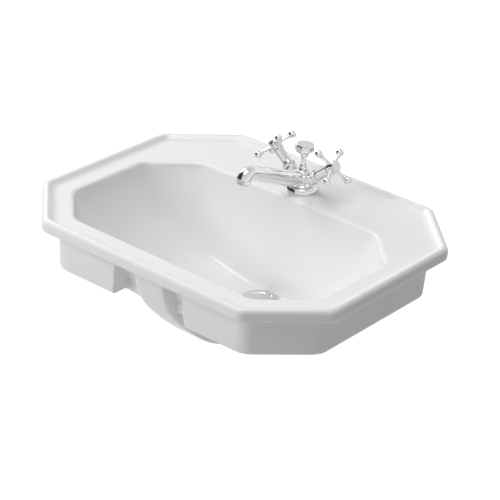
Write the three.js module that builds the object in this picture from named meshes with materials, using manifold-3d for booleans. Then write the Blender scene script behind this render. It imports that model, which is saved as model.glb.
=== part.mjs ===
// A drop-in washbasin of white glazed china with a one-hole mixer tap and a pop-up waste.
// Millimetres, +Z up, +X to the right and -Y towards the user. The origin is the centre of the
// basin's outline, on the plane of the worktop that the rim rests on.
import * as THREE from "three";
import { mergeVertices } from "three/addons/utils/BufferGeometryUtils.js";
import Module from "manifold-3d";

const wasm = await Module();
wasm.setup();

// ---------------------------------------------------------------- driving dimensions
const GAP = 0.3; // running clearance between two pieces that meet

const BASIN_WIDTH = 580;
const BASIN_DEPTH = 470;
const BASIN_CORNER_CUT = 97;
const BASIN_CORNER_BLEND = 9;
const RIM_HEIGHT = 21;
const LEDGE_HEIGHT = 13.3;

const SKIRT_INSET = 25;
const SKIRT_DEPTH = 68.5;
const SKIRT_DRAFT = 3;
const SKIRT_WALL = 11;
const NOTCH_HALF_WIDTH = 65;
const NOTCH_BACK_Y = -180;

const BOWL_WALL = 11;
const FLOOR_Z = -151;
const BOSS_BOTTOM_Z = -187;
const CHANNEL_HALF_WIDTH = 30.5;
const CHANNEL_WALL = 8;
const DUCT_HALF_WIDTH = 19;
const DUCT_HEIGHT = 10;
const OVERFLOW_SLOT_Z = -24;
const OVERFLOW_SLOT_HEIGHT = 12;
const OVERFLOW_SLOT_WIDTH = 40;

const TAP_Y = 147;
const TAP_HOLE_RADIUS = 17.5;
const COLUMN_TOP = 36;
const BASE_RING_RADIUS = 25.2;
const BASE_RING_HEIGHT = 9.7;

const SPOUT_RISE = THREE.MathUtils.degToRad(22.9);
const SPOUT_AXIS_HEIGHT = 16.2;
const SPOUT_REACH = 153.5;
const SPOUT_ROOT_RADIUS = 14;
const SPOUT_ROOT_NARROWING = 0.8; // the root is an upright oval
const SPOUT_TIP_RADIUS = 10.5;
const ELBOW_RADIUS = 12.8; // of the bend's centre line
const ELBOW_END_RADIUS = 12.2;
const NOZZLE_END_RADIUS = 9.6;
const NOZZLE_DROP = 19.6;

const VALVE_LEAN = THREE.MathUtils.degToRad(50);
const VALVE_ORIGIN_X = -6.9; // on the far side of the column, 9 mm below its axis
const VALVE_ORIGIN_Z = 4.25;
const ARM_RADIUS = 11;
const ARM_START = 9;
const ARM_END = 42;
const HANDLE_PLANE = 85;
const BALL_CIRCLE_RADIUS = 32.5;
const BALL_RADIUS = 6.2;
const HANDLE_SPLAY = THREE.MathUtils.degToRad(30);

const LIFT_ROD_RADIUS = 2.5;
const STEM_RADIUS = 3.8; // of the lift rod's thick upper end

const DRAIN_Y = 60;
const DRAIN_HOLE_RADIUS = 22.5;
const RECESS_RADIUS = 32.2;
const RECESS_FLOOR_Z = -153.8;
const WASTE_THREAD_RADIUS = 19.5;
const WASTE_BORE_RADIUS = 15.2;
const WASTE_END_Z = -243;
const PIVOT_Z = -217;
const PIVOT_Y = 24; // from the drain's axis to the pivot ball

const FINE = 20; // segments round a visible turned piece
const COARSE = 12; // segments round a small or hidden one

// ---------------------------------------------------------------- materials
function material(color, roughness, metalness) {
  return new THREE.MeshStandardMaterial({ color, roughness, metalness });
}

const china = material(0xf4f4f1, 0.12, 0);
const chrome = material(0xd9dcdf, 0.08, 1);
const brass = material(0xc2a25a, 0.35, 1);
const steel = material(0xa9adb0, 0.4, 1);
const rubber = material(0x1d1d1e, 0.8, 0);
const nylon = material(0xe6e4dc, 0.5, 0);
const alumina = material(0xefe9dd, 0.3, 0);

// ---------------------------------------------------------------- solids
function solidOf(geometry) {
  const bare = geometry.clone();
  bare.deleteAttribute("normal");
  bare.deleteAttribute("uv");
  const merged = mergeVertices(bare, 1e-4);
  const mesh = new wasm.Mesh({
    numProp: 3,
    vertProperties: merged.attributes.position.array,
    triVerts: new Uint32Array(merged.index.array),
  });
  return new wasm.Manifold(mesh);
}

function geometryOf(solid) {
  const mesh = solid.getMesh();
  const geometry = new THREE.BufferGeometry();
  geometry.setAttribute("position", new THREE.BufferAttribute(mesh.vertProperties, 3));
  geometry.setIndex(new THREE.BufferAttribute(mesh.triVerts, 1));
  const faceted = geometry.toNonIndexed();
  faceted.computeVertexNormals();
  return faceted;
}

function joined(...pieces) {
  return pieces.reduce((whole, piece) => whole.add(piece));
}

function without(solid, ...cutters) {
  return cutters.reduce((rest, cutter) => rest.subtract(cutter), solid);
}

function signedArea(outline) {
  return outline.reduce((sum, [x, y], i) => {
    const [nextX, nextY] = outline[(i + 1) % outline.length];
    return sum + (x * nextY - nextX * y) / 2;
  }, 0);
}

// A body turned about Z from an outline of [radius, z] points. An outline that stays off the
// axis is closed into a ring.
function turned(outline, segments = COARSE) {
  const ordered = signedArea(outline) > 0 ? [...outline] : [...outline].reverse();
  const onAxis = ordered.findIndex(([radius], i) => {
    const next = ordered[(i + 1) % ordered.length];
    return radius === 0 && next[0] === 0;
  });
  const start = onAxis < 0 ? 0 : onAxis + 1;
  const profile = ordered.map((_, i) => ordered[(start + i) % ordered.length]);
  if (onAxis < 0) profile.push(profile[0]);
  const points = profile.map(([radius, z]) => new THREE.Vector2(radius, z));
  return solidOf(new THREE.LatheGeometry(points, segments).rotateX(Math.PI / 2));
}

function rod(radius, bottom, top, segments = COARSE) {
  return turned([[0, bottom], [radius, bottom], [radius, top], [0, top]], segments);
}

function ring(inner, outer, bottom, top, segments = COARSE) {
  return turned([[inner, bottom], [outer, bottom], [outer, top], [inner, top]], segments);
}

function block(x0, x1, y0, y1, z0, z1) {
  const box = new THREE.BoxGeometry(x1 - x0, y1 - y0, z1 - z0);
  return solidOf(box.translate((x0 + x1) / 2, (y0 + y1) / 2, (z0 + z1) / 2));
}

function prism(shape, bottom, top) {
  const settings = { depth: top - bottom, bevelEnabled: false, curveSegments: 6 };
  return solidOf(new THREE.ExtrudeGeometry(shape, settings).translate(0, 0, bottom));
}

function hexagon(acrossFlats, bottom, top) {
  const corner = acrossFlats / Math.sqrt(3);
  const geometry = new THREE.CylinderGeometry(corner, corner, top - bottom, 6);
  return solidOf(geometry.rotateX(Math.PI / 2).translate(0, 0, (bottom + top) / 2));
}

// Skin over a stack of closed convex rings of [x, y, z] points, each with the same count and
// running anticlockwise seen from the last ring's side.
function lofted(rings) {
  const count = rings[0].length;
  const positions = rings.flat(2);
  const index = [];
  for (let level = 0; level + 1 < rings.length; level++) {
    for (let i = 0; i < count; i++) {
      const a = level * count + i;
      const b = level * count + ((i + 1) % count);
      index.push(a, b, b + count, a, b + count, a + count);
    }
  }
  const last = (rings.length - 1) * count;
  for (let i = 1; i + 1 < count; i++) {
    index.push(0, i + 1, i);
    index.push(last, last + i, last + i + 1);
  }
  const geometry = new THREE.BufferGeometry();
  geometry.setAttribute("position", new THREE.Float32BufferAttribute(positions, 3));
  geometry.setIndex(index);
  return solidOf(geometry);
}

// ---------------------------------------------------------------- basin
const CORNER_STEPS = 3;

// One level of an eight-sided outline with eased corners. The corners are named by the edge
// that they end: front and rear give half the length of those edges.
function octagon({ z, front, rear, side, yFront, yRear, ySideFront, ySideRear, blend }) {
  const corners = [
    [side, ySideRear],
    [rear, yRear],
    [-rear, yRear],
    [-side, ySideRear],
    [-side, ySideFront],
    [-front, yFront],
    [front, yFront],
    [side, ySideFront],
  ].map(([x, y]) => new THREE.Vector2(x, y));
  const points = [];
  corners.forEach((corner, i) => {
    const before = corners[(i + 7) % 8];
    const after = corners[(i + 1) % 8];
    const start = towards(corner, before, blend);
    const end = towards(corner, after, blend);
    const curve = new THREE.QuadraticBezierCurve(start, corner, end);
    curve.getPoints(CORNER_STEPS).forEach((p) => points.push([p.x, p.y, z]));
  });
  return points;
}

function towards(corner, neighbour, distance) {
  const reach = Math.min(distance / corner.distanceTo(neighbour), 0.49);
  return corner.clone().lerp(neighbour, reach);
}

// The basin's own outline, moved in by an inset with its corner cuts kept parallel.
function outlineRing(inset, z, blend = BASIN_CORNER_BLEND) {
  const side = BASIN_WIDTH / 2 - inset;
  const half = BASIN_DEPTH / 2 - inset;
  const cut = BASIN_CORNER_CUT - inset * (2 - Math.SQRT2);
  return octagon({
    z,
    front: side - cut,
    rear: side - cut,
    side,
    yFront: -half,
    yRear: half,
    ySideFront: cut - half,
    ySideRear: half - cut,
    blend,
  });
}

// The bowl's inner surface, level by level from the rim down to the floor. Each row gives its
// height, half the length of its front edge and of its rear edge, half its width, the y of its
// front wall and of its rear wall, the y where its side walls end towards the front and towards
// the rear, and how far its corners are eased.
const BOWL_LEVELS = [
  [4, 174.5, 174, 241.5, -182.6, 107.6, -116, 40.5, 14],
  [-18, 168, 165, 237, -180, 106, -110, 41, 18],
  [-49, 150, 154, 223, -168, 103.5, -98, 42, 24],
  [-78, 126, 145, 202, -146, 101, -82, 44, 32],
  [-104, 100, 133, 172, -116, 98.5, -62, 48, 40],
  [-127, 74, 110, 136, -88, 95.5, -40, 54, 48],
  [-141, 50, 80, 98, -66, 94, -18, 58, 56],
  [-148, 32, 52, 64, -42, 93, 6, 60, 60],
  [FLOOR_Z, 18, 30, 40, -6, 92.5, 20, 66, 60],
].map(([z, front, rear, side, yFront, yRear, ySideFront, ySideRear, blend]) => {
  return { z, front, rear, side, yFront, yRear, ySideFront, ySideRear, blend };
});

// The eased edge from the ledge into the bowl: how far each level opens out, and its height
// above the ledge.
const BOWL_EDGE = [
  [-0.4, -4],
  [0.8, -1.7],
  [2.6, -0.5],
  [5.4, 0],
  [5.4, 20],
];

function grown(level, amount, drop = 0, rearAmount = amount) {
  const along = amount * (Math.SQRT2 - 1);
  return {
    z: level.z - drop,
    front: level.front + along,
    rear: level.rear + along,
    side: level.side + amount,
    yFront: level.yFront - amount,
    yRear: level.yRear + rearAmount,
    ySideFront: level.ySideFront - along,
    ySideRear: level.ySideRear + along,
    blend: level.blend + along,
  };
}

function bowlCavity() {
  const walls = [...BOWL_LEVELS].reverse().map(octagon);
  const edge = BOWL_EDGE.map(([outward, rise]) => {
    return octagon(grown({ ...BOWL_LEVELS[0], z: LEDGE_HEIGHT }, outward + 0.9, -rise));
  });
  return lofted([...walls, ...edge]);
}

// How far the bowl's outer surface stands outside and below each inner level.
const SHELL_OFFSETS = [
  [11, 0],
  [11, 1],
  [10.5, 3],
  [9, 6],
  [8, 8],
  [7, 9],
  [6, 10],
  [5, 11],
  [4, 11],
];

function bowlShell() {
  const levels = BOWL_LEVELS.map((level, i) => {
    const [outward, drop] = SHELL_OFFSETS[i];
    return octagon(grown(level, outward, drop, BOWL_WALL));
  });
  return lofted(levels.reverse());
}

// Inset and height of each level of the rim, from its underside over the raised bead and down
// the bead's hollow inner slope to the ledge.
const RIM_LEVELS = [
  [3.5, 0],
  [0.9, 1.1],
  [0, 3.4],
  [0, 13.6],
  [0.7, 16.6],
  [2.4, 19.2],
  [5, 20.6],
  [7.6, RIM_HEIGHT],
  [9.8, 20.3],
  [12.2, 17.8],
  [15, 15.2],
  [18.6, 13.8],
  [23, LEDGE_HEIGHT],
];

function rimAndLedge() {
  return lofted(RIM_LEVELS.map(([inset, z]) => outlineRing(inset, z)));
}

const SKIRT_BLEND = 14;

function skirt() {
  const foot = SKIRT_INSET + SKIRT_DRAFT;
  const outer = lofted([
    outlineRing(foot + 2.5, -SKIRT_DEPTH, SKIRT_BLEND),
    outlineRing(foot + 0.6, 1.2 - SKIRT_DEPTH, SKIRT_BLEND),
    outlineRing(foot, 3 - SKIRT_DEPTH, SKIRT_BLEND),
    outlineRing(SKIRT_INSET, 1, SKIRT_BLEND),
  ]);
  const inner = lofted([
    outlineRing(foot + SKIRT_WALL, -SKIRT_DEPTH - 1, SKIRT_BLEND),
    outlineRing(SKIRT_INSET + SKIRT_WALL, 0, SKIRT_BLEND),
  ]);
  return outer.subtract(inner);
}

function rectangleRing(halfWidth, y0, y1, z) {
  return [
    [-halfWidth, y0, z],
    [halfWidth, y0, z],
    [halfWidth, y1, z],
    [-halfWidth, y1, z],
  ];
}

// The walls that line the notch in the front of the skirt, and the notch itself.
const NOTCH_SPLAY = 4.5;

function notchWalls() {
  const half = NOTCH_HALF_WIDTH + SKIRT_WALL;
  const front = SKIRT_INSET - BASIN_DEPTH / 2;
  return lofted([
    rectangleRing(half + NOTCH_SPLAY, front + SKIRT_DRAFT + 2, NOTCH_BACK_Y + SKIRT_WALL, -SKIRT_DEPTH),
    rectangleRing(half, front + 2, NOTCH_BACK_Y + SKIRT_WALL, 1),
  ]);
}

function notch() {
  return lofted([
    rectangleRing(NOTCH_HALF_WIDTH + NOTCH_SPLAY, -BASIN_DEPTH / 2, NOTCH_BACK_Y, -SKIRT_DEPTH - 1),
    rectangleRing(NOTCH_HALF_WIDTH, -BASIN_DEPTH / 2, NOTCH_BACK_Y, 0),
  ]);
}

// The overflow channel runs down the front of the bowl and back under its floor to the drain:
// a curve in the plane x = 0 on the channel's outer face.
const channelFace = new THREE.CatmullRomCurve3(
  [
    [-209, 2],
    [-208, -20],
    [-199, -51],
    [-177, -84],
    [-134, -126],
    [-90, -160],
    [-46, -179],
    [0, BOSS_BOTTOM_Z + 2],
    [DRAIN_Y, BOSS_BOTTOM_Z + 1],
  ].map(([y, z]) => new THREE.Vector3(0, y, z)),
);

// A band that follows the channel's face between two shares of its length. Its section is a
// list of [x, depth below the face].
function channelBand(section, from, to, steps) {
  const rings = [];
  for (let i = 0; i <= steps; i++) {
    const share = from + ((to - from) * i) / steps;
    const at = channelFace.getPointAt(share);
    const along = channelFace.getTangentAt(share);
    rings.push(section.map(([x, depth]) => [x, at.y - depth * along.z, at.z + depth * along.y]));
  }
  return lofted(rings);
}

function channelRidge() {
  const half = CHANNEL_HALF_WIDTH;
  const section = [
    [-half, 24],
    [-half, 6],
    [2 - half, 2],
    [6 - half, 0],
    [half - 6, 0],
    [half - 2, 2],
    [half, 6],
    [half, 24],
  ];
  return channelBand(section.reverse(), 0, 1, 14);
}

function overflowDuct() {
  const half = DUCT_HALF_WIDTH;
  const section = [
    [-half, CHANNEL_WALL + DUCT_HEIGHT],
    [-half, CHANNEL_WALL],
    [half, CHANNEL_WALL],
    [half, CHANNEL_WALL + DUCT_HEIGHT],
  ];
  return channelBand(section.reverse(), 0.045, 0.99, 14);
}

function overflowSlot() {
  const radius = OVERFLOW_SLOT_HEIGHT / 2;
  const half = OVERFLOW_SLOT_WIDTH / 2 - radius;
  const shape = new THREE.Shape();
  shape.absarc(half, 0, radius, -Math.PI / 2, Math.PI / 2);
  shape.absarc(-half, 0, radius, Math.PI / 2, (3 * Math.PI) / 2);
  return prism(shape, 0, 34).rotate([90, 0, 0]).translate([0, -166, OVERFLOW_SLOT_Z]);
}

function basin() {
  const boss = rod(42, BOSS_BOTTOM_Z, FLOOR_Z - 4, FINE).translate([0, DRAIN_Y, 0]);
  const notchedSkirt = joined(skirt(), notchWalls()).subtract(notch());
  const drain = turned(
    [
      [0, BOSS_BOTTOM_Z - 1],
      [DRAIN_HOLE_RADIUS, BOSS_BOTTOM_Z - 1],
      [DRAIN_HOLE_RADIUS, RECESS_FLOOR_Z],
      [RECESS_RADIUS, RECESS_FLOOR_Z],
      [RECESS_RADIUS + 1.6, FLOOR_Z + 1],
      [0, FLOOR_Z + 1],
    ],
    FINE,
  ).translate([0, DRAIN_Y, 0]);
  const tapHole = rod(TAP_HOLE_RADIUS, -60, RIM_HEIGHT, FINE).translate([0, TAP_Y, 0]);
  return without(
    joined(rimAndLedge(), notchedSkirt, bowlShell(), channelRidge(), boss),
    bowlCavity(),
    overflowDuct(),
    overflowSlot(),
    drain,
    tapHole,
  );
}

// ---------------------------------------------------------------- tap body
// Pieces of the tap are placed from the point where its column meets the ledge.
const STUD_Y = -9.5;
const INLET_X = 9;
const INLET_Y = 2.5;

function column() {
  const spigot = 14.9;
  const foot = BASE_RING_HEIGHT + GAP;
  return turned(
    [
      [0, -4],
      [spigot, -4],
      [spigot, foot],
      [19.5, foot],
      [19, foot + 2],
      [15.6, foot + 5],
      [12.6, foot + 9],
      [11.2, foot + 14],
      [10.6, COLUMN_TOP - 6],
      [10.4, COLUMN_TOP - 2.6],
      [9.6, COLUMN_TOP - 0.6],
      [8.4, COLUMN_TOP],
      [0, COLUMN_TOP],
    ],
    FINE,
  );
}

// In the spout's own frame, from the column's axis along Z, round the elbow and down -Y.
function spoutSection(radius, y, z, turn, narrowing = 1) {
  const section = [];
  for (let i = 0; i < FINE; i++) {
    const angle = (i * 2 * Math.PI) / FINE;
    const across = radius * Math.sin(angle);
    const x = radius * narrowing * Math.cos(angle);
    section.push([x, y + across * Math.cos(turn), z + across * Math.sin(turn)]);
  }
  return section;
}

function spout() {
  const elbowZ = SPOUT_REACH - ELBOW_RADIUS;
  const sections = [spoutSection(SPOUT_ROOT_RADIUS, 0, 0, 0, SPOUT_ROOT_NARROWING)];
  const steps = 6;
  for (let i = 0; i <= steps; i++) {
    const turn = (i * Math.PI) / (2 * steps);
    const radius = SPOUT_TIP_RADIUS + ((ELBOW_END_RADIUS - SPOUT_TIP_RADIUS) * i) / steps;
    const y = ELBOW_RADIUS * (Math.cos(turn) - 1);
    sections.push(spoutSection(radius, y, elbowZ + ELBOW_RADIUS * Math.sin(turn), turn));
  }
  sections.push(spoutSection(NOZZLE_END_RADIUS, -NOZZLE_DROP, SPOUT_REACH, Math.PI / 2));
  return lofted(sections);
}

const NOZZLE_BORE_RADIUS = 7;
const NOZZLE_BORE_TOP = -7;

// Turns a solid from the spout's own frame, whose Z lies along the spout and whose -Y is the
// way that the nozzle drops, to the tap's frame.
function onSpout(solid) {
  const lift = 90 - THREE.MathUtils.radToDeg(SPOUT_RISE);
  return solid.rotate([lift, 0, 0]).translate([0, 0, SPOUT_AXIS_HEIGHT]);
}

// Turns a solid whose Z axis is the nozzle's, with its origin on the spout's axis.
function onNozzle(solid) {
  return onSpout(solid.rotate([-90, 0, 0]).translate([0, 0, SPOUT_REACH]));
}

function onValve(solid, side) {
  const lean = side * THREE.MathUtils.radToDeg(VALVE_LEAN);
  return solid.rotate([0, lean, 0]).translate([side * VALVE_ORIGIN_X, 0, VALVE_ORIGIN_Z]);
}

const VALVE_CHAMBER_RADIUS = 6.5;
const VALVE_CHAMBER_FLOOR = 26;

function tapBody() {
  const arms = [-1, 1].map((side) => onValve(rod(ARM_RADIUS, ARM_START, ARM_END, FINE), side));
  const chambers = [-1, 1].map((side) => {
    const chamber = rod(VALVE_CHAMBER_RADIUS, VALVE_CHAMBER_FLOOR, ARM_END + 1);
    return onValve(chamber, side);
  });
  const belowRing = block(-60, 60, -60, 60, -60, BASE_RING_HEIGHT + GAP);
  const branches = joined(...arms, onSpout(spout()));
  const liftBore = rod(LIFT_ROD_RADIUS + 0.4, -5, COLUMN_TOP + 1);
  const stemBore = rod(STEM_RADIUS + 0.4, 22, COLUMN_TOP + 1);
  const studBore = rod(3 + GAP, -5, 8).translate([0, STUD_Y, 0]);
  const inletBores = [-1, 1].map((side) => {
    return rod(5, -5, 5).translate([side * INLET_X, INLET_Y, 0]);
  });
  const nozzleBore = onNozzle(rod(NOZZLE_BORE_RADIUS, -NOZZLE_DROP - 1, NOZZLE_BORE_TOP));
  return without(
    joined(column(), branches.subtract(belowRing)),
    ...chambers,
    liftBore,
    stemBore,
    studBore,
    ...inletBores,
    nozzleBore,
  );
}

function baseRing() {
  const bore = 15.2;
  return turned(
    [
      [bore, 2.6],
      [22.7, 2.6],
      [22.7, GAP],
      [BASE_RING_RADIUS, GAP],
      [BASE_RING_RADIUS, 4.6],
      [23.6, 7],
      [22.6, 8.8],
      [21, BASE_RING_HEIGHT],
      [bore, BASE_RING_HEIGHT],
    ],
    FINE,
  );
}

function columnCollar() {
  const bottom = COLUMN_TOP + GAP;
  const bore = STEM_RADIUS + 0.4;
  return turned([
    [bore, bottom],
    [6.8, bottom],
    [6.8, bottom + 1.4],
    [6.1, bottom + 2.2],
    [5.9, bottom + 6.4],
    [5.2, bottom + 8.2],
    [bore, bottom + 8.2],
  ]);
}

// ---------------------------------------------------------------- aerator
function aeratorHousing() {
  const lip = -NOZZLE_DROP - GAP;
  return turned([
    [5.2, lip - 1.4],
    [8.8, lip - 1.4],
    [9.2, lip],
    [6.7, lip],
    [6.7, -9.2],
    [5.2, -9.2],
  ]);
}

function aeratorInsert() {
  const screen = rod(4.9, -NOZZLE_DROP - 0.6, -12);
  const slots = [-2, 0, 2].map((x) => block(x - 0.5, x + 0.5, -4, 4, -NOZZLE_DROP - 1, -16));
  return without(screen, ...slots);
}

// ---------------------------------------------------------------- valve and cross handle
// Stations along a valve's axis.
const SPINDLE_TOP = 84;
const HUB_BOTTOM = 76.6;
const HUB_TOP = 91;

const valvePieces = {
  seat_seal: [() => ring(3, 6.2, 26.3, 28.3), rubber],
  fixed_disc: [fixedDisc, alumina],
  moving_disc: [movingDisc, alumina],
  valve_body: [valveBody, brass],
  knurled_ring: [knurledRing, chrome],
  valve_sleeve: [valveSleeve, chrome],
  spindle: [spindle, brass],
  handle: [crossHandle, chrome],
  handle_screw: [handleScrew, steel],
  index_cap: [indexCap, chrome],
};

function fixedDisc() {
  const ports = [-3.2, 3.2].map((x) => rod(1.9, 28, 33, 12).translate([x, 0, 0]));
  return without(rod(6.2, 28.6, 31.6), ...ports);
}

function movingDisc() {
  const waterWay = block(-7, 7, 1.4, 7, 31, 33.6);
  const driveSlot = block(-1.3, 1.3, -7, 7, 33.6, 36);
  return without(rod(6, 31.9, 34.9), waterWay, driveSlot);
}

function valveBody() {
  return turned([
    [3.4, 35.2],
    [6.2, 35.2],
    [6.2, 62],
    [5.2, 63.5],
    [5.2, 73],
    [3.4, 73],
  ]);
}

function knurledRing() {
  const outer = new THREE.Shape();
  const teeth = 18;
  for (let i = 0; i < teeth * 2; i++) {
    const angle = (i * Math.PI) / teeth;
    const radius = i % 2 ? 10.2 : 10.8;
    const point = [radius * Math.cos(angle), radius * Math.sin(angle)];
    if (i) outer.lineTo(...point);
    else outer.moveTo(...point);
  }
  outer.closePath();
  const bore = rod(6.5, 40, 50);
  return prism(outer, ARM_END + GAP, 48.5).subtract(bore);
}

function valveSleeve() {
  return turned(
    [
      [6.5, 48.8],
      [8.6, 48.8],
      [8.8, 50.4],
      [8, 52],
      [8.4, 62],
      [9.3, 75.2],
      [9, 76.2],
      [6.5, 76.2],
    ],
    FINE,
  );
}

function spindle() {
  const stem = turned([
    [0, 35.6],
    [3, 35.6],
    [3, 74],
    [2.7, 74.4],
    [2.7, SPINDLE_TOP],
    [0, SPINDLE_TOP],
  ]);
  const tongue = block(-1, 1, -2.8, 2.8, 34, 36);
  return without(joined(stem, tongue), rod(1.8, 74, SPINDLE_TOP + 1, 12));
}

function spoke() {
  const profile = [[0, 7], [3.1, 7], [2.7, 12], [2.5, 23.9], [3.3, 24.7], [3.3, 26.7]];
  const ball = [];
  for (let angle = -50; angle <= 90; angle += 35) {
    const turn = THREE.MathUtils.degToRad(angle);
    ball.push([
      BALL_RADIUS * Math.cos(turn),
      BALL_CIRCLE_RADIUS + BALL_RADIUS * Math.sin(turn),
    ]);
  }
  ball[ball.length - 1][0] = 0;
  return turned([...profile, ...ball], 10);
}

function crossHandle(side) {
  const hub = turned(
    [
      [3, HUB_BOTTOM],
      [8.4, HUB_BOTTOM],
      [9.6, HUB_BOTTOM + 1.6],
      [9.6, HUB_TOP - 3.4],
      [8.6, HUB_TOP],
      [5, HUB_TOP],
      [5, 86.3],
      [3, 86.3],
    ],
    FINE,
  );
  const first = 90 + (side * THREE.MathUtils.radToDeg(HANDLE_SPLAY));
  const spokes = [0, 90, 180, 270].map((turn) => {
    return spoke().rotate([0, 90, 0]).rotate([0, 0, first + turn]).translate([0, 0, HANDLE_PLANE]);
  });
  return without(joined(hub, ...spokes), rod(5, 86.3, HUB_TOP + 1), rod(3, 70, 87));
}

function handleScrew() {
  const screw = turned([[0, 76], [1.5, 76], [1.5, 86.6], [4.4, 86.6], [4.4, 88.4], [3.4, 89.2], [0, 89.2]]);
  return without(screw, block(-3.6, 3.6, -0.5, 0.5, 88.3, 90));
}

function indexCap() {
  const seat = HUB_TOP + GAP;
  return turned(
    [[0, 89.6], [4.6, 89.6], [4.6, seat], [9.2, seat], [8.8, seat + 1.5], [6, seat + 2.1], [0, seat + 2.3]],
    FINE,
  );
}

// ---------------------------------------------------------------- tap fixings and inlets
const DECK_UNDERSIDE = -LEDGE_HEIGHT;

function horseshoe(bottom, top) {
  const outer = 24;
  const slot = 14.6;
  const open = Math.acos(slot / outer);
  const shape = new THREE.Shape();
  shape.moveTo(slot, -4.4);
  shape.lineTo(slot, outer * Math.sin(open));
  shape.absarc(0, 0, outer, open, Math.PI - open, true);
  shape.lineTo(-slot, -4.4);
  shape.closePath();
  const studHole = rod(3.4, bottom - 1, top + 1, 12).translate([0, STUD_Y, 0]);
  return prism(shape, bottom, top).subtract(studHole);
}

const fixings = {
  mounting_stud: [() => rod(3, -48, 7.6, 16).translate([0, STUD_Y, 0]), brass],
  mounting_gasket: [() => horseshoe(DECK_UNDERSIDE - 3.3, DECK_UNDERSIDE - GAP), rubber],
  mounting_washer: [() => horseshoe(DECK_UNDERSIDE - 6.1, DECK_UNDERSIDE - 3.6), steel],
  mounting_nut: [mountingNut, brass],
  hot_inlet: [() => inlet(-1), brass],
  cold_inlet: [() => inlet(1), brass],
};

function mountingNut() {
  const top = DECK_UNDERSIDE - 6.4;
  const nut = hexagon(10, top - 7, top).subtract(rod(3 + GAP, top - 8, top + 1, 16));
  return nut.translate([0, STUD_Y, 0]);
}

function inlet(side) {
  return turned([
    [3, -36],
    [4.7, -36],
    [4.7, -30],
    [6, -29.5],
    [6, -25],
    [4.7, -24.5],
    [4.7, 4.6],
    [3, 4.6],
  ]).translate([side * INLET_X, INLET_Y, 0]);
}

// ---------------------------------------------------------------- lift knob and linkage
const KNOB_BOTTOM = 58;
const KNOB_TOP = 80;
const STEM_TOP = 72;

function liftKnob() {
  const knob = turned(
    [
      [0, KNOB_BOTTOM],
      [5.6, KNOB_BOTTOM],
      [6.4, KNOB_BOTTOM + 1.6],
      [5.8, KNOB_BOTTOM + 4],
      [13.6, KNOB_BOTTOM + 9.5],
      [15.4, KNOB_BOTTOM + 12.5],
      [15.4, KNOB_TOP - 3],
      [13.4, KNOB_TOP - 0.7],
      [0, KNOB_TOP],
    ],
    8,
  );
  return knob.rotate([0, 0, 22.5]).subtract(rod(STEM_RADIUS + GAP, KNOB_BOTTOM - 1, STEM_TOP + 0.4));
}

const CLEVIS_TOP_Z = -186;
const CLEVIS_BOTTOM_Z = -227;
const CLEVIS_HALF = 6;
const CLEVIS_SCREW_Z = -195;

function liftRod() {
  const bottom = CLEVIS_TOP_Z - 16;
  const stemBottom = LEDGE_HEIGHT + COLUMN_TOP;
  const top = LEDGE_HEIGHT + STEM_TOP;
  const outline = [
    [0, bottom],
    [LIFT_ROD_RADIUS, bottom],
    [LIFT_ROD_RADIUS, stemBottom],
    [STEM_RADIUS, stemBottom + 1],
    [STEM_RADIUS, top],
    [0, top],
  ];
  return turned(outline, 16);
}

function clevis() {
  const bar = block(-CLEVIS_HALF, CLEVIS_HALF, -CLEVIS_HALF, CLEVIS_HALF, CLEVIS_BOTTOM_Z, CLEVIS_TOP_Z);
  const rodBore = rod(LIFT_ROD_RADIUS + GAP, CLEVIS_TOP_Z - 17, CLEVIS_TOP_Z + 1, 16);
  const pivotSlot = block(-2.5, 2.5, -7, 7, PIVOT_Z - 5, PIVOT_Z + 5);
  const screwBore = rod(2.3, 2, 7, 12).rotate([0, 90, 0]).translate([0, 0, CLEVIS_SCREW_Z]);
  return without(bar, rodBore, pivotSlot, screwBore);
}

function clevisScrew() {
  const screw = turned([[0, 3], [2, 3], [2, 6.4], [4, 6.4], [4, 12], [3, 13], [0, 13]]);
  return screw.rotate([0, 90, 0]).translate([0, 0, CLEVIS_SCREW_Z]);
}

const linkage = {
  lift_knob: [() => liftKnob().translate([0, 0, LEDGE_HEIGHT]), chrome],
  lift_rod: [liftRod, chrome],
  clevis: [clevis, brass],
  clevis_screw: [clevisScrew, steel],
};

// ---------------------------------------------------------------- waste
const OVERFLOW_PORT_Z = -174;

function overflowPort() {
  return block(-7, 7, -30, 30, OVERFLOW_PORT_Z - 7, OVERFLOW_PORT_Z + 7);
}

function wasteFlange() {
  const flange = turned(
    [
      [WASTE_BORE_RADIUS, -184],
      [17, -184],
      [17, -161],
      [21, -161],
      [21, -152.2],
      [31.7, -152],
      [31.7, -151.2],
      [30.6, -150.5],
      [23, -150.9],
      [21.8, -151.6],
      [18.2, -156],
      [18.2, -158.5],
      [WASTE_BORE_RADIUS, -160],
    ],
    FINE,
  );
  return flange.subtract(overflowPort());
}

function wasteBody() {
  const tube = turned(
    [
      [0, WASTE_END_Z],
      [16, WASTE_END_Z],
      [16, -230],
      [WASTE_THREAD_RADIUS, -227],
      [WASTE_THREAD_RADIUS, -161.5],
      [0, -161.5],
    ],
    FINE,
  );
  const bore = turned(
    [
      [0, WASTE_END_Z - 1],
      [13.5, WASTE_END_Z - 1],
      [13.5, -232],
      [WASTE_BORE_RADIUS, -229],
      [WASTE_BORE_RADIUS, -184.5],
      [17.3, -184.5],
      [17.3, -160],
      [0, -160],
    ],
    FINE,
  );
  const port = alongY(rod(8.4, 10, 30));
  const ballBore = alongY(rod(6.3, 17, 31));
  const rodWay = alongY(rod(4.4, 10, 18));
  return without(joined(tube, port), bore, ballBore, rodWay, overflowPort());
}

// Turns a solid from the Z axis on to the pivot rod's line, which runs back from the drain.
function alongY(solid) {
  return solid.rotate([-90, 0, 0]).translate([0, 0, PIVOT_Z]);
}

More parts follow.
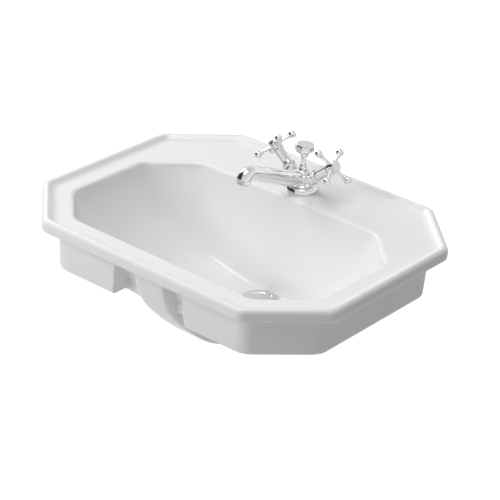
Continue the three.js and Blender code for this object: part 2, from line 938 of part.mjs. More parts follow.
function plugDisc() {
  const disc = turned(
    [
      [0, -158],
      [13.9, -158],
      [13.9, -155.2],
      [16, -154.9],
      [20.4, -152.2],
      [21.1, -151.5],
      [20.7, -150.7],
      [14, -149.5],
      [0, -148.9],
    ],
    FINE,
  );
  return disc.subtract(rod(3 + GAP, -159, -153, 16));
}

function plugStem() {
  const stem = turned([[0, -214.5], [4, -214.5], [4, -209.5], [3, -208], [3, -153.4], [0, -153.4]]);
  const fins = [0, 120, 240].map((turn) => {
    return block(1, 14.2, -0.8, 0.8, -206, -190).rotate([0, 0, turn + 30]);
  });
  return joined(stem, ...fins);
}

function pivotRod() {
  const ball = [];
  const radius = 5;
  const edge = Math.asin(2 / radius);
  const steps = 5;
  for (let i = 0; i <= steps; i++) {
    const angle = edge - Math.PI / 2 + (i * (Math.PI - 2 * edge)) / steps;
    ball.push([radius * Math.cos(angle), PIVOT_Y + radius * Math.sin(angle)]);
  }
  const rearEnd = TAP_Y - DRAIN_Y + 13;
  return alongY(turned([[0, -2], [2, -2], ...ball, [2, rearEnd], [0, rearEnd]], 10));
}

function pivotNut() {
  const outer = hexagon(21, 25, 34);
  return alongY(without(outer, rod(8.7, 24, 31), rod(4.6, 30, 35)));
}

const waste = {
  waste_flange: [wasteFlange, chrome],
  flange_seal: [() => ring(22.6, 30.4, -153.5, -152.5, FINE), rubber],
  waste_body: [wasteBody, brass],
  lower_seal: [lowerSeal, rubber],
  slip_washer: [() => ring(19.8, 27.5, -197, -195.8, FINE), nylon],
  back_nut: [() => hexagon(50, -204, -197.3).subtract(rod(19.8, -207, -196, FINE)), brass],
  plug_disc: [plugDisc, chrome],
  plug_seal: [() => ring(14.2, 16.6, -157.4, -155.6, FINE), rubber],
  plug_stem: [plugStem, nylon],
  pivot_rod: [pivotRod, brass],
  inner_ball_seat: [() => alongY(ring(3.9, 6, 17.3, 20.3)), nylon],
  outer_ball_seat: [() => alongY(ring(3.9, 6, 27.7, 30.7)), nylon],
  pivot_nut: [pivotNut, brass],
};

function lowerSeal() {
  return turned(
    [
      [19.8, -195.5],
      [27.5, -195.5],
      [27.5, -191.5],
      [24.5, BOSS_BOTTOM_Z - GAP],
      [19.8, BOSS_BOTTOM_Z - GAP],
    ],
    FINE,
  );
}

// ---------------------------------------------------------------- assembly
function named(name, solid, look) {
  const mesh = new THREE.Mesh(geometryOf(solid), look);
  mesh.name = name;
  return mesh;
}

function assembled(pieces, prefix = "", argument = undefined) {
  const group = new THREE.Group();
  for (const [name, [make, look]] of Object.entries(pieces)) {
    group.add(named(prefix + name, make(argument), look));
  }
  return group;
}

function valve(prefix, side) {
  const group = assembled(valvePieces, prefix, side);
  group.position.set(side * VALVE_ORIGIN_X, 0, VALVE_ORIGIN_Z);
  group.rotation.y = side * VALVE_LEAN;
  return group;
}

function tap() {
  const group = new THREE.Group();
  group.position.set(0, TAP_Y, LEDGE_HEIGHT);
  group.add(
    named("tap_body", tapBody(), chrome),
    named("base_ring", baseRing(), chrome),
    named("base_seal", ring(15.5, 22.4, GAP, 2.3, FINE), rubber),
    named("column_collar", columnCollar(), chrome),
    named("aerator_housing", onNozzle(aeratorHousing()), chrome),
    named("aerator_insert", onNozzle(aeratorInsert()), nylon),
    named("aerator_seal", onNozzle(ring(4.4, 6.6, -8.9, -7.4)), rubber),
    assembled(fixings),
    valve("hot_", -1),
    valve("cold_", 1),
  );
  return group;
}

const washbasin = new THREE.Group();
washbasin.name = "washbasin";
washbasin.add(named("basin", basin(), china), tap());

const linkageGroup = assembled(linkage);
linkageGroup.position.y = TAP_Y;
washbasin.add(linkageGroup);

const wasteGroup = assembled(waste);
wasteGroup.position.y = DRAIN_Y;
washbasin.add(wasteGroup);

export default washbasin;
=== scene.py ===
import math

import bpy
import numpy as np
from mathutils import Matrix, Vector


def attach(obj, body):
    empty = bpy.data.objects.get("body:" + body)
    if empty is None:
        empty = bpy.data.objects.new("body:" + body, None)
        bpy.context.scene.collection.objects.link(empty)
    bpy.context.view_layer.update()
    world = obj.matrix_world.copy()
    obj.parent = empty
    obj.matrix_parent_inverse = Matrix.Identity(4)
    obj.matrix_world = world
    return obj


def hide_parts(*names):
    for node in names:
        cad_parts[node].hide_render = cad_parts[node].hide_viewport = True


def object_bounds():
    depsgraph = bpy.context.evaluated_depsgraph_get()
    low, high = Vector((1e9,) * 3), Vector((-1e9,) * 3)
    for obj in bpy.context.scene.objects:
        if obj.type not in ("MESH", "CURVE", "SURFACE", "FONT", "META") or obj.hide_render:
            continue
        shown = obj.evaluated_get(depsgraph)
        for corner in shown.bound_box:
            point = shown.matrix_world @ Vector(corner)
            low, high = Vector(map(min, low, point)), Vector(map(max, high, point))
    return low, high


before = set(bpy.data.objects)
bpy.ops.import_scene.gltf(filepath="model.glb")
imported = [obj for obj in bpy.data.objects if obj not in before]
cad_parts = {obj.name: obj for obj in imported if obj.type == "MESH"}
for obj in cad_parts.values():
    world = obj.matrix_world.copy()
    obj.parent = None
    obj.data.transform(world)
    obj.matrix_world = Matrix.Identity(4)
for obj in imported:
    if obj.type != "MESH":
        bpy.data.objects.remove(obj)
cad_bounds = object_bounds()

MM = 0.001
ROOT = "basin_and_tap"

# ------------------------------------------------------------------ camera and studio
CAMERA_AZIMUTH = math.radians(38.6)
CAMERA_ELEVATION = math.radians(26.5)
CAMERA_ROLL = math.radians(-3.57)
CAMERA_DISTANCE = 2.919
CAMERA_LENS = 137.3
AIM_RIGHT = 0.0139  # where the picture's centre lies, seen from the basin's origin
AIM_UP = -0.0369
FLOOR_DROP = 0.45
BACKDROP_STRENGTH = 1.1
WORLD_STRENGTH = 0.42
# The surroundings' grey from straight down (0) over the horizon (0.5) to straight up (1).
WORLD_GREYS = ((0.0, 0.5), (0.44, 0.45), (0.5, 0.16), (0.56, 0.12), (0.66, 0.5), (0.8, 0.8), (1.0, 1.0))
# The same for what the pieces mirror, dimmed round one unlit corner of the studio.
MIRRORED_GREYS = ((0.0, 0.35), (0.42, 0.4), (0.48, 1.0), (0.58, 1.0), (0.66, 0.76), (0.8, 0.76), (1.0, 0.5))
MIRRORED_STRENGTH = 1.0
DARK_CORNER = (-0.75, -0.6, 0.25)
DARK_CORNER_EDGE = (0.66, 0.8)
DARK_CORNER_GREY = 0.06


def make_camera():
    a, e, r = CAMERA_AZIMUTH, CAMERA_ELEVATION, CAMERA_ROLL
    back = Vector((math.sin(a) * math.cos(e), -math.cos(a) * math.cos(e), math.sin(e)))
    level_right = Vector((math.cos(a), math.sin(a), 0))
    level_up = back.cross(level_right)
    right = level_right * math.cos(r) - level_up * math.sin(r)
    up = level_right * math.sin(r) + level_up * math.cos(r)
    place = back * CAMERA_DISTANCE
    aim = right * AIM_RIGHT + up * AIM_UP
    z_axis = (place - aim).normalized()
    x_axis = up.cross(z_axis).normalized()
    y_axis = z_axis.cross(x_axis)
    data = bpy.data.cameras.new("camera")
    data.lens = CAMERA_LENS
    data.sensor_width = 36
    data.clip_end = 50
    camera = bpy.data.objects.new("camera", data)
    camera.matrix_world = Matrix.Translation(place) @ Matrix(
        (x_axis, y_axis, z_axis)
    ).transposed().to_4x4()
    bpy.context.scene.collection.objects.link(camera)
    bpy.context.scene.camera = camera
    bpy.context.scene.view_settings.view_transform = "Standard"


def softbox(name, place, size, power, mirrored=True):
    data = bpy.data.lights.new(name, "AREA")
    data.shape = "RECTANGLE"
    data.size, data.size_y = size
    data.energy = power
    lamp = bpy.data.objects.new(name, data)
    lamp.location = place
    lamp.rotation_euler = (-Vector(place)).to_track_quat("-Z", "Y").to_euler()
    lamp.visible_glossy = mirrored
    bpy.context.scene.collection.objects.link(lamp)


def grey_ramp(nodes, greys):
    ramp = nodes.new("ShaderNodeValToRGB")
    for _ in range(len(greys) - 2):
        ramp.color_ramp.elements.new(0.5)
    for element, (position, grey) in zip(ramp.color_ramp.elements, greys):
        element.position = position
        element.color = (grey, grey, grey, 1)
    return ramp


def make_world():
    """Grey surroundings for light, brighter ones for reflections and white behind the object."""
    world = bpy.data.worlds.new("studio")
    bpy.context.scene.world = world
    world.use_nodes = True
    nodes, links = world.node_tree.nodes, world.node_tree.links
    nodes.clear()
    direction = nodes.new("ShaderNodeTexCoord")
    split = nodes.new("ShaderNodeSeparateXYZ")
    ramp = grey_ramp(nodes, WORLD_GREYS)
    mirrored_ramp = grey_ramp(nodes, MIRRORED_GREYS)
    shade = nodes.new("ShaderNodeMapRange")
    toward_dark = nodes.new("ShaderNodeVectorMath")
    dark_edge = nodes.new("ShaderNodeMapRange")
    dimmed = nodes.new("ShaderNodeVectorMath")
    mirrored = nodes.new("ShaderNodeBackground")
    glossy_mix = nodes.new("ShaderNodeMixShader")
    surround = nodes.new("ShaderNodeBackground")
    backdrop = nodes.new("ShaderNodeBackground")
    path = nodes.new("ShaderNodeLightPath")
    mix = nodes.new("ShaderNodeMixShader")
    out = nodes.new("ShaderNodeOutputWorld")
    shade.inputs["From Min"].default_value = -1
    shade.inputs["From Max"].default_value = 1
    surround.inputs["Strength"].default_value = WORLD_STRENGTH
    mirrored.inputs["Strength"].default_value = MIRRORED_STRENGTH
    toward_dark.operation = "DOT_PRODUCT"
    toward_dark.inputs[1].default_value = Vector(DARK_CORNER).normalized()
    dark_edge.interpolation_type = "SMOOTHSTEP"
    dark_edge.inputs["From Min"].default_value = DARK_CORNER_EDGE[0]
    dark_edge.inputs["From Max"].default_value = DARK_CORNER_EDGE[1]
    dark_edge.inputs["To Min"].default_value = 1
    dark_edge.inputs["To Max"].default_value = DARK_CORNER_GREY
    dimmed.operation = "SCALE"
    backdrop.inputs["Color"].default_value = (1, 1, 1, 1)
    backdrop.inputs["Strength"].default_value = BACKDROP_STRENGTH
    links.new(direction.outputs["Generated"], split.inputs[0])
    links.new(split.outputs["Z"], shade.inputs["Value"])
    links.new(shade.outputs["Result"], ramp.inputs["Fac"])
    links.new(ramp.outputs["Color"], surround.inputs["Color"])
    links.new(shade.outputs["Result"], mirrored_ramp.inputs["Fac"])
    links.new(direction.outputs["Generated"], toward_dark.inputs[0])
    links.new(toward_dark.outputs["Value"], dark_edge.inputs["Value"])
    links.new(mirrored_ramp.outputs["Color"], dimmed.inputs[0])
    links.new(dark_edge.outputs["Result"], dimmed.inputs["Scale"])
    links.new(dimmed.outputs["Vector"], mirrored.inputs["Color"])
    links.new(path.outputs["Is Glossy Ray"], glossy_mix.inputs[0])
    links.new(surround.outputs[0], glossy_mix.inputs[1])
    links.new(mirrored.outputs[0], glossy_mix.inputs[2])
    links.new(path.outputs["Is Camera Ray"], mix.inputs[0])
    links.new(glossy_mix.outputs[0], mix.inputs[1])
    links.new(backdrop.outputs[0], mix.inputs[2])
    links.new(mix.outputs[0], out.inputs["Surface"])


def make_floor():
    """Pale paper that is white to the camera, and clear from below so that it hides nothing."""
    low = cad_bounds[0].z - FLOOR_DROP
    mesh = bpy.data.meshes.new("floor")
    reach = 12
    corners = [(-reach, -reach, low), (reach, -reach, low), (reach, reach, low), (-reach, reach, low)]
    mesh.from_pydata(corners, [], [(0, 1, 2, 3)])
    floor = bpy.data.objects.new("floor", mesh)
    bpy.context.scene.collection.objects.link(floor)
    material = bpy.data.materials.new("floor_paper")
    material.use_nodes = True
    nodes, links = material.node_tree.nodes, material.node_tree.links
    nodes.clear()
    paper = nodes.new("ShaderNodeBsdfDiffuse")
    paper.inputs["Color"].default_value = (0.85, 0.85, 0.85, 1)
    clear = nodes.new("ShaderNodeBsdfTransparent")
    surface = nodes.new("ShaderNodeNewGeometry")
    from_below = nodes.new("ShaderNodeMixShader")
    glow = nodes.new("ShaderNodeEmission")
    glow.inputs["Color"].default_value = (1, 1, 1, 1)
    glow.inputs["Strength"].default_value = BACKDROP_STRENGTH
    path = nodes.new("ShaderNodeLightPath")
    mix = nodes.new("ShaderNodeMixShader")
    out = nodes.new("ShaderNodeOutputMaterial")
    links.new(path.outputs["Is Camera Ray"], mix.inputs[0])
    links.new(paper.outputs[0], mix.inputs[1])
    links.new(glow.outputs[0], mix.inputs[2])
    links.new(surface.outputs["Backfacing"], from_below.inputs[0])
    links.new(mix.outputs[0], from_below.inputs[1])
    links.new(clear.outputs[0], from_below.inputs[2])
    links.new(from_below.outputs[0], out.inputs["Surface"])
    mesh.materials.append(material)


def light_studio():
    softbox("key", (-1.5, -2.3, 1.5), (1.3, 1.3), 39, mirrored=False)
    softbox("top", (0.0, -0.3, 2.6), (1.6, 1.4), 24)
    softbox("left", (-2.2, 0.6, 1.3), (1.0, 1.4), 16)


# ------------------------------------------------------------------ shapes, in millimetres
class Solid:
    """A closed surface: points in millimetres and faces of point numbers."""

    def __init__(self, points, faces):
        self.points = np.asarray(points, float)
        self.faces = faces

    def moved(self, matrix):
        turned_points = self.points @ np.array(matrix.to_3x3()).T
        return Solid(turned_points + np.array(matrix.translation), self.faces)


def shift(x=0, y=0, z=0):
    return Matrix.Translation((x, y, z))


def turn(degrees, axis):
    return Matrix.Rotation(math.radians(degrees), 4, axis)


def signed_area(outline):
    total = 0
    for (x0, y0), (x1, y1) in zip(outline, outline[1:] + outline[:1]):
        total += (x0 * y1 - x1 * y0) / 2
    return total


def eased(outline, reach, steps=3):
    """The outline with each corner that is off the axis rounded."""
    rounded = []
    count = len(outline)
    for i, corner in enumerate(outline):
        if corner[0] == 0:
            rounded.append(corner)
            continue
        here = Vector(corner)
        before = Vector(outline[i - 1]) - here
        after = Vector(outline[(i + 1) % count]) - here
        start = here + before.normalized() * min(reach, 0.45 * before.length)
        end = here + after.normalized() * min(reach, 0.45 * after.length)
        for step in range(steps + 1):
            t = step / steps
            point = start * (1 - t) ** 2 + here * 2 * t * (1 - t) + end * t**2
            rounded.append((point.x, point.y))
    return rounded


def turned(outline, ease=0.3, segments=96):
    """A body turned about Z from an outline of (radius, z) points, with eased corners."""
    ordered = list(outline) if signed_area(list(outline)) > 0 else list(outline)[::-1]
    on_axis = [i for i, p in enumerate(ordered) if p[0] == 0]
    if on_axis:
        first = next(i for i in on_axis if ordered[i - 1][0] == 0)
        ordered = ordered[first:] + ordered[:first]
    profile = eased(ordered, ease)
    rows, points, faces = [], [], []
    for radius, z in profile:
        if radius == 0:
            rows.append([len(points)] * segments)
            points.append((0, 0, z))
            continue
        rows.append(list(range(len(points), len(points) + segments)))
        for k in range(segments):
            angle = 2 * math.pi * k / segments
            points.append((radius * math.cos(angle), radius * math.sin(angle), z))
    pairs = list(zip(rows, rows[1:]))
    if not on_axis:
        pairs.append((rows[-1], rows[0]))
    for low, high in pairs:
        for k in range(segments):
            n = (k + 1) % segments
            loop = [low[k], low[n], high[n], high[k]]
            face = [v for j, v in enumerate(loop) if v != loop[j - 1]]
            if len(face) > 2:
                faces.append(face)
    return Solid(points, faces)


def rod(radius, bottom, top, ease=0.3, segments=64):
    return turned([(0, bottom), (radius, bottom), (radius, top), (0, top)], ease, segments)


def ring(inner, outer, bottom, top, ease=0.3, segments=96):
    outline = [(inner, bottom), (outer, bottom), (outer, top), (inner, top)]
    return turned(outline, ease, segments)


def lofted(rings):
    """Skin over a stack of closed convex rings with the same number of points."""
    count = len(rings[0])
    points = np.concatenate(rings)
    faces = []
    for level in range(len(rings) - 1):
        for i in range(count):
            a = level * count + i
            b = level * count + (i + 1) % count
            faces.append([a, b, b + count, a + count])
    last = (len(rings) - 1) * count
    faces.append(list(range(count))[::-1])
    faces.append(list(range(last, last + count)))
    return Solid(points, faces)


def block(x0, x1, y0, y1, z0, z1):
    base = [(x0, y0), (x1, y0), (x1, y1), (x0, y1)]
    return lofted([np.array([(x, y, z) for x, y in base]) for z in (z0, z1)])


def prism(outline, bottom, top):
    return lofted([np.array([(x, y, z) for x, y in outline]) for z in (bottom, top)])


def regular(sides, across_flats, turn_by=0.0):
    corner = across_flats / 2 / math.cos(math.pi / sides)
    angles = [turn_by + 2 * math.pi * k / sides for k in range(sides)]
    return [(corner * math.cos(a), corner * math.sin(a)) for a in angles]


# ------------------------------------------------------------------ meshes
def object_of(name, solid):
    mesh = bpy.data.meshes.new(name)
    mesh.from_pydata((solid.points * MM).tolist(), [], solid.faces)
    mesh.validate()
    made = bpy.data.objects.new(name, mesh)
    bpy.context.scene.collection.objects.link(made)
    return made


def apply_modifiers(obj):
    bpy.context.view_layer.update()
    graph = bpy.context.evaluated_depsgraph_get()
    result = bpy.data.meshes.new_from_object(obj.evaluated_get(graph))
    old = obj.data
    obj.modifiers.clear()
    obj.data = result
    bpy.data.meshes.remove(old)
    result.name = obj.name


def as_object(name, shape):
    return shape if isinstance(shape, bpy.types.Object) else object_of(name, shape)


def combine(name, first, add=(), cut=(), meet=()):
    """One object from closed shapes: others joined to the first, cut away from it, or met with it."""
    made = as_object(name, first)
    helpers = []
    for operation, shapes in (("UNION", add), ("INTERSECT", meet), ("DIFFERENCE", cut)):
        for shape in shapes:
            helper = as_object(name + "_helper", shape)
            helpers.append(helper)
            step = made.modifiers.new("join", "BOOLEAN")
            step.operation = operation
            step.solver = "MANIFOLD"
            step.object = helper
    apply_modifiers(made)
    made.name = name
    for helper in helpers:
        data = helper.data
        bpy.data.objects.remove(helper)
        bpy.data.meshes.remove(data)
    return made


def cast(obj, voxel, rounds, most_faces=None):
    """Gives a joined object the soft, even surface of a casting: its edges and joints flow."""
    skin = obj.modifiers.new("skin", "REMESH")
    skin.mode = "VOXEL"
    skin.voxel_size = voxel * MM
    soften = obj.modifiers.new("soften", "SMOOTH")
    soften.factor = 0.5
    soften.iterations = rounds
    apply_modifiers(obj)
    triangles = 2 * len(obj.data.polygons)
    if most_faces and triangles > most_faces:
        thin = obj.modifiers.new("thin", "DECIMATE")
        thin.ratio = most_faces / triangles
        apply_modifiers(obj)
    obj.data.shade_smooth()


def crisp(obj, degrees=40):
    """Smooth shading that keeps edges sharper than this angle."""
    obj.data.shade_smooth()
    obj.data.set_sharp_from_angle(angle=math.radians(degrees))


def bevelled(obj, width, segments=3):
    step = obj.modifiers.new("bevel", "BEVEL")
    step.width = width * MM
    step.segments = segments
    step.limit_method = "ANGLE"
    step.angle_limit = math.radians(30)
    apply_modifiers(obj)


def fit(obj, node, body, slot):
    """Puts a finished piece in place of its CAD node."""
    obj.data.materials.clear()
    obj.data.materials.append(LOOKS[slot])
    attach(obj, body)
    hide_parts(node)


# ------------------------------------------------------------------ basin
BASIN_WIDTH = 580
BASIN_DEPTH = 470
BASIN_CORNER_CUT = 97
BASIN_CORNER_BLEND = 9
RIM_HEIGHT = 21
LEDGE_HEIGHT = 13.3
SKIRT_INSET = 25
SKIRT_DEPTH = 68.5
SKIRT_DRAFT = 3
SKIRT_WALL = 11
SKIRT_BLEND = 14
NOTCH_HALF_WIDTH = 65
NOTCH_SPLAY = 4.5
NOTCH_BACK_Y = -180
BOWL_WALL = 11
FLOOR_Z = -151
BOSS_BOTTOM_Z = -187
CHANNEL_HALF_WIDTH = 30.5
CHANNEL_WALL = 8
DUCT_HALF_WIDTH = 19
DUCT_HEIGHT = 10
OVERFLOW_SLOT_Z = -24
DRAIN_Y = 60
DRAIN_HOLE_RADIUS = 22.5
RECESS_RADIUS = 32.2
RECESS_FLOOR_Z = -153.8
TAP_Y = 147
TAP_HOLE_RADIUS = 17.5
CORNER_STEPS = 10

# The bowl's inner surface. Each row gives its height, half the length of its front edge and of
# its rear edge, half its width, the y of its front and rear walls, the y where its side walls
# end towards the front and the rear, and how far its corners are eased.
BOWL_LEVELS = (
    (4, 174.5, 174, 241.5, -182.6, 107.6, -116, 40.5, 14),
    (-18, 168, 165, 237, -180, 106, -110, 41, 18),
    (-49, 150, 154, 223, -168, 103.5, -98, 42, 24),
    (-78, 126, 145, 202, -146, 101, -82, 44, 32),
    (-104, 100, 133, 172, -116, 98.5, -62, 48, 40),
    (-127, 74, 110, 136, -88, 95.5, -40, 54, 48),
    (-141, 50, 80, 98, -66, 94, -18, 58, 56),
    (-148, 32, 52, 64, -42, 93, 6, 60, 60),
    (FLOOR_Z, 18, 30, 40, -6, 92.5, 20, 66, 60),
)
BOWL_EDGE = ((-0.4, -4), (0.8, -1.7), (2.6, -0.5), (5.4, 0))
SHELL_OFFSETS = ((11, 0), (11, 1), (10.5, 3), (9, 6), (8, 8), (7, 9), (6, 10), (5, 11), (4, 11))
RIM_LEVELS = (
    (3.5, 0),
    (0.9, 1.1),
    (0, 3.4),
    (0, 13.6),
    (0.7, 16.6),
    (2.4, 19.2),
    (5, 20.6),
    (7.6, RIM_HEIGHT),
    (9.8, 20.3),
    (12.2, 17.8),
    (15, 15.2),
    (18.6, 13.8),
    (23, LEDGE_HEIGHT),
)


def flowing(rows, steps):
    """The rows with steps in between, on a smooth curve through all of them."""
    rows = np.asarray(rows, float)
    padded = np.vstack([2 * rows[0] - rows[1], rows, 2 * rows[-1] - rows[-2]])
    finer = []
    for before, start, end, after in zip(padded, padded[1:], padded[2:], padded[3:]):
        for step in range(steps):
            t = step / steps
            bend = (2 * before - 5 * start + 4 * end - after) * t**2
            turn_back = (3 * start - before - 3 * end + after) * t**3
            finer.append((2 * start + (end - before) * t + bend + turn_back) / 2)
    finer.append(rows[-1])
    return finer


def octagon(z, front, rear, side, y_front, y_rear, y_side_front, y_side_rear, blend):
    """One level of an eight-sided outline with eased corners."""
    corners = [
        Vector((side, y_side_rear)),
        Vector((rear, y_rear)),
        Vector((-rear, y_rear)),
        Vector((-side, y_side_rear)),
        Vector((-side, y_side_front)),
        Vector((-front, y_front)),
        Vector((front, y_front)),
        Vector((side, y_side_front)),
    ]
    points = []
    for i, corner in enumerate(corners):
        before, after = corners[i - 1], corners[(i + 1) % 8]
        start = corner.lerp(before, min(blend / (corner - before).length, 0.49))
        end = corner.lerp(after, min(blend / (corner - after).length, 0.49))
        for step in range(CORNER_STEPS + 1):
            t = step / CORNER_STEPS
            p = start * (1 - t) ** 2 + corner * 2 * t * (1 - t) + end * t**2
            points.append((p.x, p.y, z))
    return np.array(points)


def outline_ring(inset, z, blend=BASIN_CORNER_BLEND):
    side = BASIN_WIDTH / 2 - inset
    half = BASIN_DEPTH / 2 - inset
    cut = BASIN_CORNER_CUT - inset * (2 - math.sqrt(2))
    return octagon(z, side - cut, side - cut, side, -half, half, cut - half, half - cut, blend)


def grown(level, amount, drop=0.0, rear_amount=None):
    """A level of the bowl moved outward and down."""
    z, front, rear, side, y_front, y_rear, y_side_front, y_side_rear, blend = level
    along = amount * (math.sqrt(2) - 1)
    back = amount if rear_amount is None else rear_amount
    return (
        z - drop,
        front + along,
        rear + along,
        side + amount,
        y_front - amount,
        y_rear + back,
        y_side_front - along,
        y_side_rear + along,
        blend + along,
    )


def bowl_cavity():
    top = (LEDGE_HEIGHT,) + BOWL_LEVELS[0][1:]
    edge = [grown(top, outward + 0.9, -rise) for outward, rise in BOWL_EDGE]
    walls = flowing(list(BOWL_LEVELS[::-1]) + edge, 5)
    above = grown(top, BOWL_EDGE[-1][0] + 0.9, -20)
    return lofted([octagon(*level) for level in walls] + [octagon(*above)])


def bowl_shell():
    levels = []
    for level, (outward, drop) in zip(BOWL_LEVELS, SHELL_OFFSETS):
        levels.append(grown(level, outward, drop, BOWL_WALL))
    return lofted([octagon(*level) for level in flowing(levels[::-1], 4)])


def rim_and_ledge():
    rows = [RIM_LEVELS[0]] + flowing(RIM_LEVELS[1:3], 3) + flowing(RIM_LEVELS[3:], 4)
    return lofted([outline_ring(inset, z) for inset, z in rows])


def skirt_solids():
    foot = SKIRT_INSET + SKIRT_DRAFT
    outer = lofted(
        [
            outline_ring(foot + 3.4, -SKIRT_DEPTH, SKIRT_BLEND),
            outline_ring(foot + 1.6, 0.7 - SKIRT_DEPTH, SKIRT_BLEND),
            outline_ring(foot + 0.5, 2 - SKIRT_DEPTH, SKIRT_BLEND),
            outline_ring(foot, 4 - SKIRT_DEPTH, SKIRT_BLEND),
            outline_ring(SKIRT_INSET, 1, SKIRT_BLEND),
        ]
    )
    inner = lofted(
        [
            outline_ring(foot + SKIRT_WALL, -SKIRT_DEPTH - 1, SKIRT_BLEND),
            outline_ring(SKIRT_INSET + SKIRT_WALL, 0, SKIRT_BLEND),
        ]
    )
    return outer, inner


def rectangle_ring(half_width, y0, y1, z):
    return np.array([(-half_width, y0, z), (half_width, y0, z), (half_width, y1, z), (-half_width, y1, z)])


def notch_walls():
    half = NOTCH_HALF_WIDTH + SKIRT_WALL
    front = SKIRT_INSET - BASIN_DEPTH / 2
    back = NOTCH_BACK_Y + SKIRT_WALL
    return lofted(
        [
            rectangle_ring(half + NOTCH_SPLAY, front + SKIRT_DRAFT + 2, back, -SKIRT_DEPTH),
            rectangle_ring(half, front + 2, back, 1),
        ]
    )


def notch():
    front = -BASIN_DEPTH / 2
    return lofted(
        [
            rectangle_ring(NOTCH_HALF_WIDTH + NOTCH_SPLAY, front, NOTCH_BACK_Y, -SKIRT_DEPTH - 1),
            rectangle_ring(NOTCH_HALF_WIDTH, front, NOTCH_BACK_Y, 0),
        ]
    )


# The overflow channel's outer face in the plane x = 0, from the ledge to the drain: (y, z).
CHANNEL_FACE = (
    (-209, 2),
    (-208, -20),
    (-199, -51),
    (-177, -84),
    (-134, -126),
    (-90, -160),
    (-46, -179),
    (0, BOSS_BOTTOM_Z + 2),
    (DRAIN_Y, BOSS_BOTTOM_Z + 1),
)


def channel_band(section, trim_start=0, trim_end=0):
    """A band along the channel's face. Its section is a list of (x, depth below the face)."""
    line = np.array(flowing(CHANNEL_FACE, 6))
    along = np.gradient(line, axis=0)
    along /= np.linalg.norm(along, axis=1)[:, None]
    rings = []
    for (y, z), (along_y, along_z) in list(zip(line, along))[trim_start : len(line) - trim_end]:
        rings.append(np.array([(x, y - depth * along_z, z + depth * along_y) for x, depth in section]))
    return lofted(rings)


def channel_ridge():
    half = CHANNEL_HALF_WIDTH
    corner = [(half - 7, 0), (half - 3.6, 0.7), (half - 1.2, 2.8), (half, 6.5), (half, 24)]
    section = corner[::-1] + [(-x, depth) for x, depth in corner]
    return channel_band(section)


def overflow_duct():
    half = DUCT_HALF_WIDTH
    low, high = CHANNEL_WALL, CHANNEL_WALL + DUCT_HEIGHT
    return channel_band([(half, high), (half, low), (-half, low), (-half, high)], 2, 1)


def overflow_slot():
    radius, reach = 6, 14
    outline = []
    for side, start in ((1, -90), (-1, 90)):
        for step in range(17):
            angle = math.radians(start + step * 180 / 16)
            outline.append((side * reach + radius * math.cos(angle), radius * math.sin(angle)))
    place = shift(0, -166, OVERFLOW_SLOT_Z) @ turn(90, "X")
    return prism(outline, 0, 34).moved(place)


def drain_way():
    return turned(
        [
            (0, BOSS_BOTTOM_Z - 1),
            (DRAIN_HOLE_RADIUS, BOSS_BOTTOM_Z - 1),
            (DRAIN_HOLE_RADIUS, RECESS_FLOOR_Z),
            (RECESS_RADIUS, RECESS_FLOOR_Z),
            (RECESS_RADIUS + 0.6, FLOOR_Z - 0.6),
            (RECESS_RADIUS + 2, FLOOR_Z + 1),
            (0, FLOOR_Z + 1),
        ]
    ).moved(shift(0, DRAIN_Y))


BASIN_VOXEL = 1.9
BASIN_FACES = 192000


def make_basin():
    outer, inner = skirt_solids()
    boss = rod(42, BOSS_BOTTOM_Z, FLOOR_Z - 4, 2.5).moved(shift(0, DRAIN_Y))
    tap_hole = rod(TAP_HOLE_RADIUS, -60, RIM_HEIGHT).moved(shift(0, TAP_Y))
    skirt = combine("skirt", outer, cut=[inner])
    skirt = combine("skirt", skirt, add=[notch_walls()], cut=[notch()])
    basin = combine(
        "washbasin_china",
        rim_and_ledge(),
        add=[skirt, bowl_shell(), channel_ridge(), boss],
        cut=[bowl_cavity(), overflow_duct(), overflow_slot(), drain_way(), tap_hole],
    )
    cast(basin, BASIN_VOXEL, 7, BASIN_FACES)
    fit(basin, "basin", ROOT, "basin")


# ------------------------------------------------------------------ places of the tap and waste
COLUMN_TOP = 36
BASE_RING_RADIUS = 25.2
BASE_RING_HEIGHT = 9.7
SPOUT_RISE = 22.9
SPOUT_AXIS_HEIGHT = 16.2
SPOUT_REACH = 153.5
SPOUT_ROOT_RADIUS = 14
SPOUT_ROOT_NARROWING = 0.8
SPOUT_TIP_RADIUS = 10.5
ELBOW_RADIUS = 12.8
ELBOW_END_RADIUS = 12.2
NOZZLE_END_RADIUS = 9.6
NOZZLE_DROP = 19.6
VALVE_LEAN = 50
VALVE_ORIGIN_X = -6.9
VALVE_ORIGIN_Z = 4.25
ARM_RADIUS = 11
ARM_START = 9
ARM_END = 42
HANDLE_PLANE = 85
BALL_CIRCLE_RADIUS = 32.5
BALL_RADIUS = 6.2
HANDLE_SPLAY = 30
LIFT_ROD_RADIUS = 2.5
STEM_RADIUS = 3.8
PIVOT_Z = -217
PIVOT_Y = 24
GAP = 0.3

TAP = shift(0, TAP_Y, LEDGE_HEIGHT)
SPOUT = TAP @ shift(0, 0, SPOUT_AXIS_HEIGHT) @ turn(90 - SPOUT_RISE, "X")
NOZZLE = SPOUT @ shift(0, 0, SPOUT_REACH) @ turn(-90, "X")
LINKAGE = shift(0, TAP_Y)
WASTE = shift(0, DRAIN_Y)
PIVOT = WASTE @ shift(0, 0, PIVOT_Z) @ turn(-90, "X")
SIDES = (("hot_", -1), ("cold_", 1))


def valve_place(side):
    return TAP @ shift(side * VALVE_ORIGIN_X, 0, VALVE_ORIGIN_Z) @ turn(side * VALVE_LEAN, "Y")


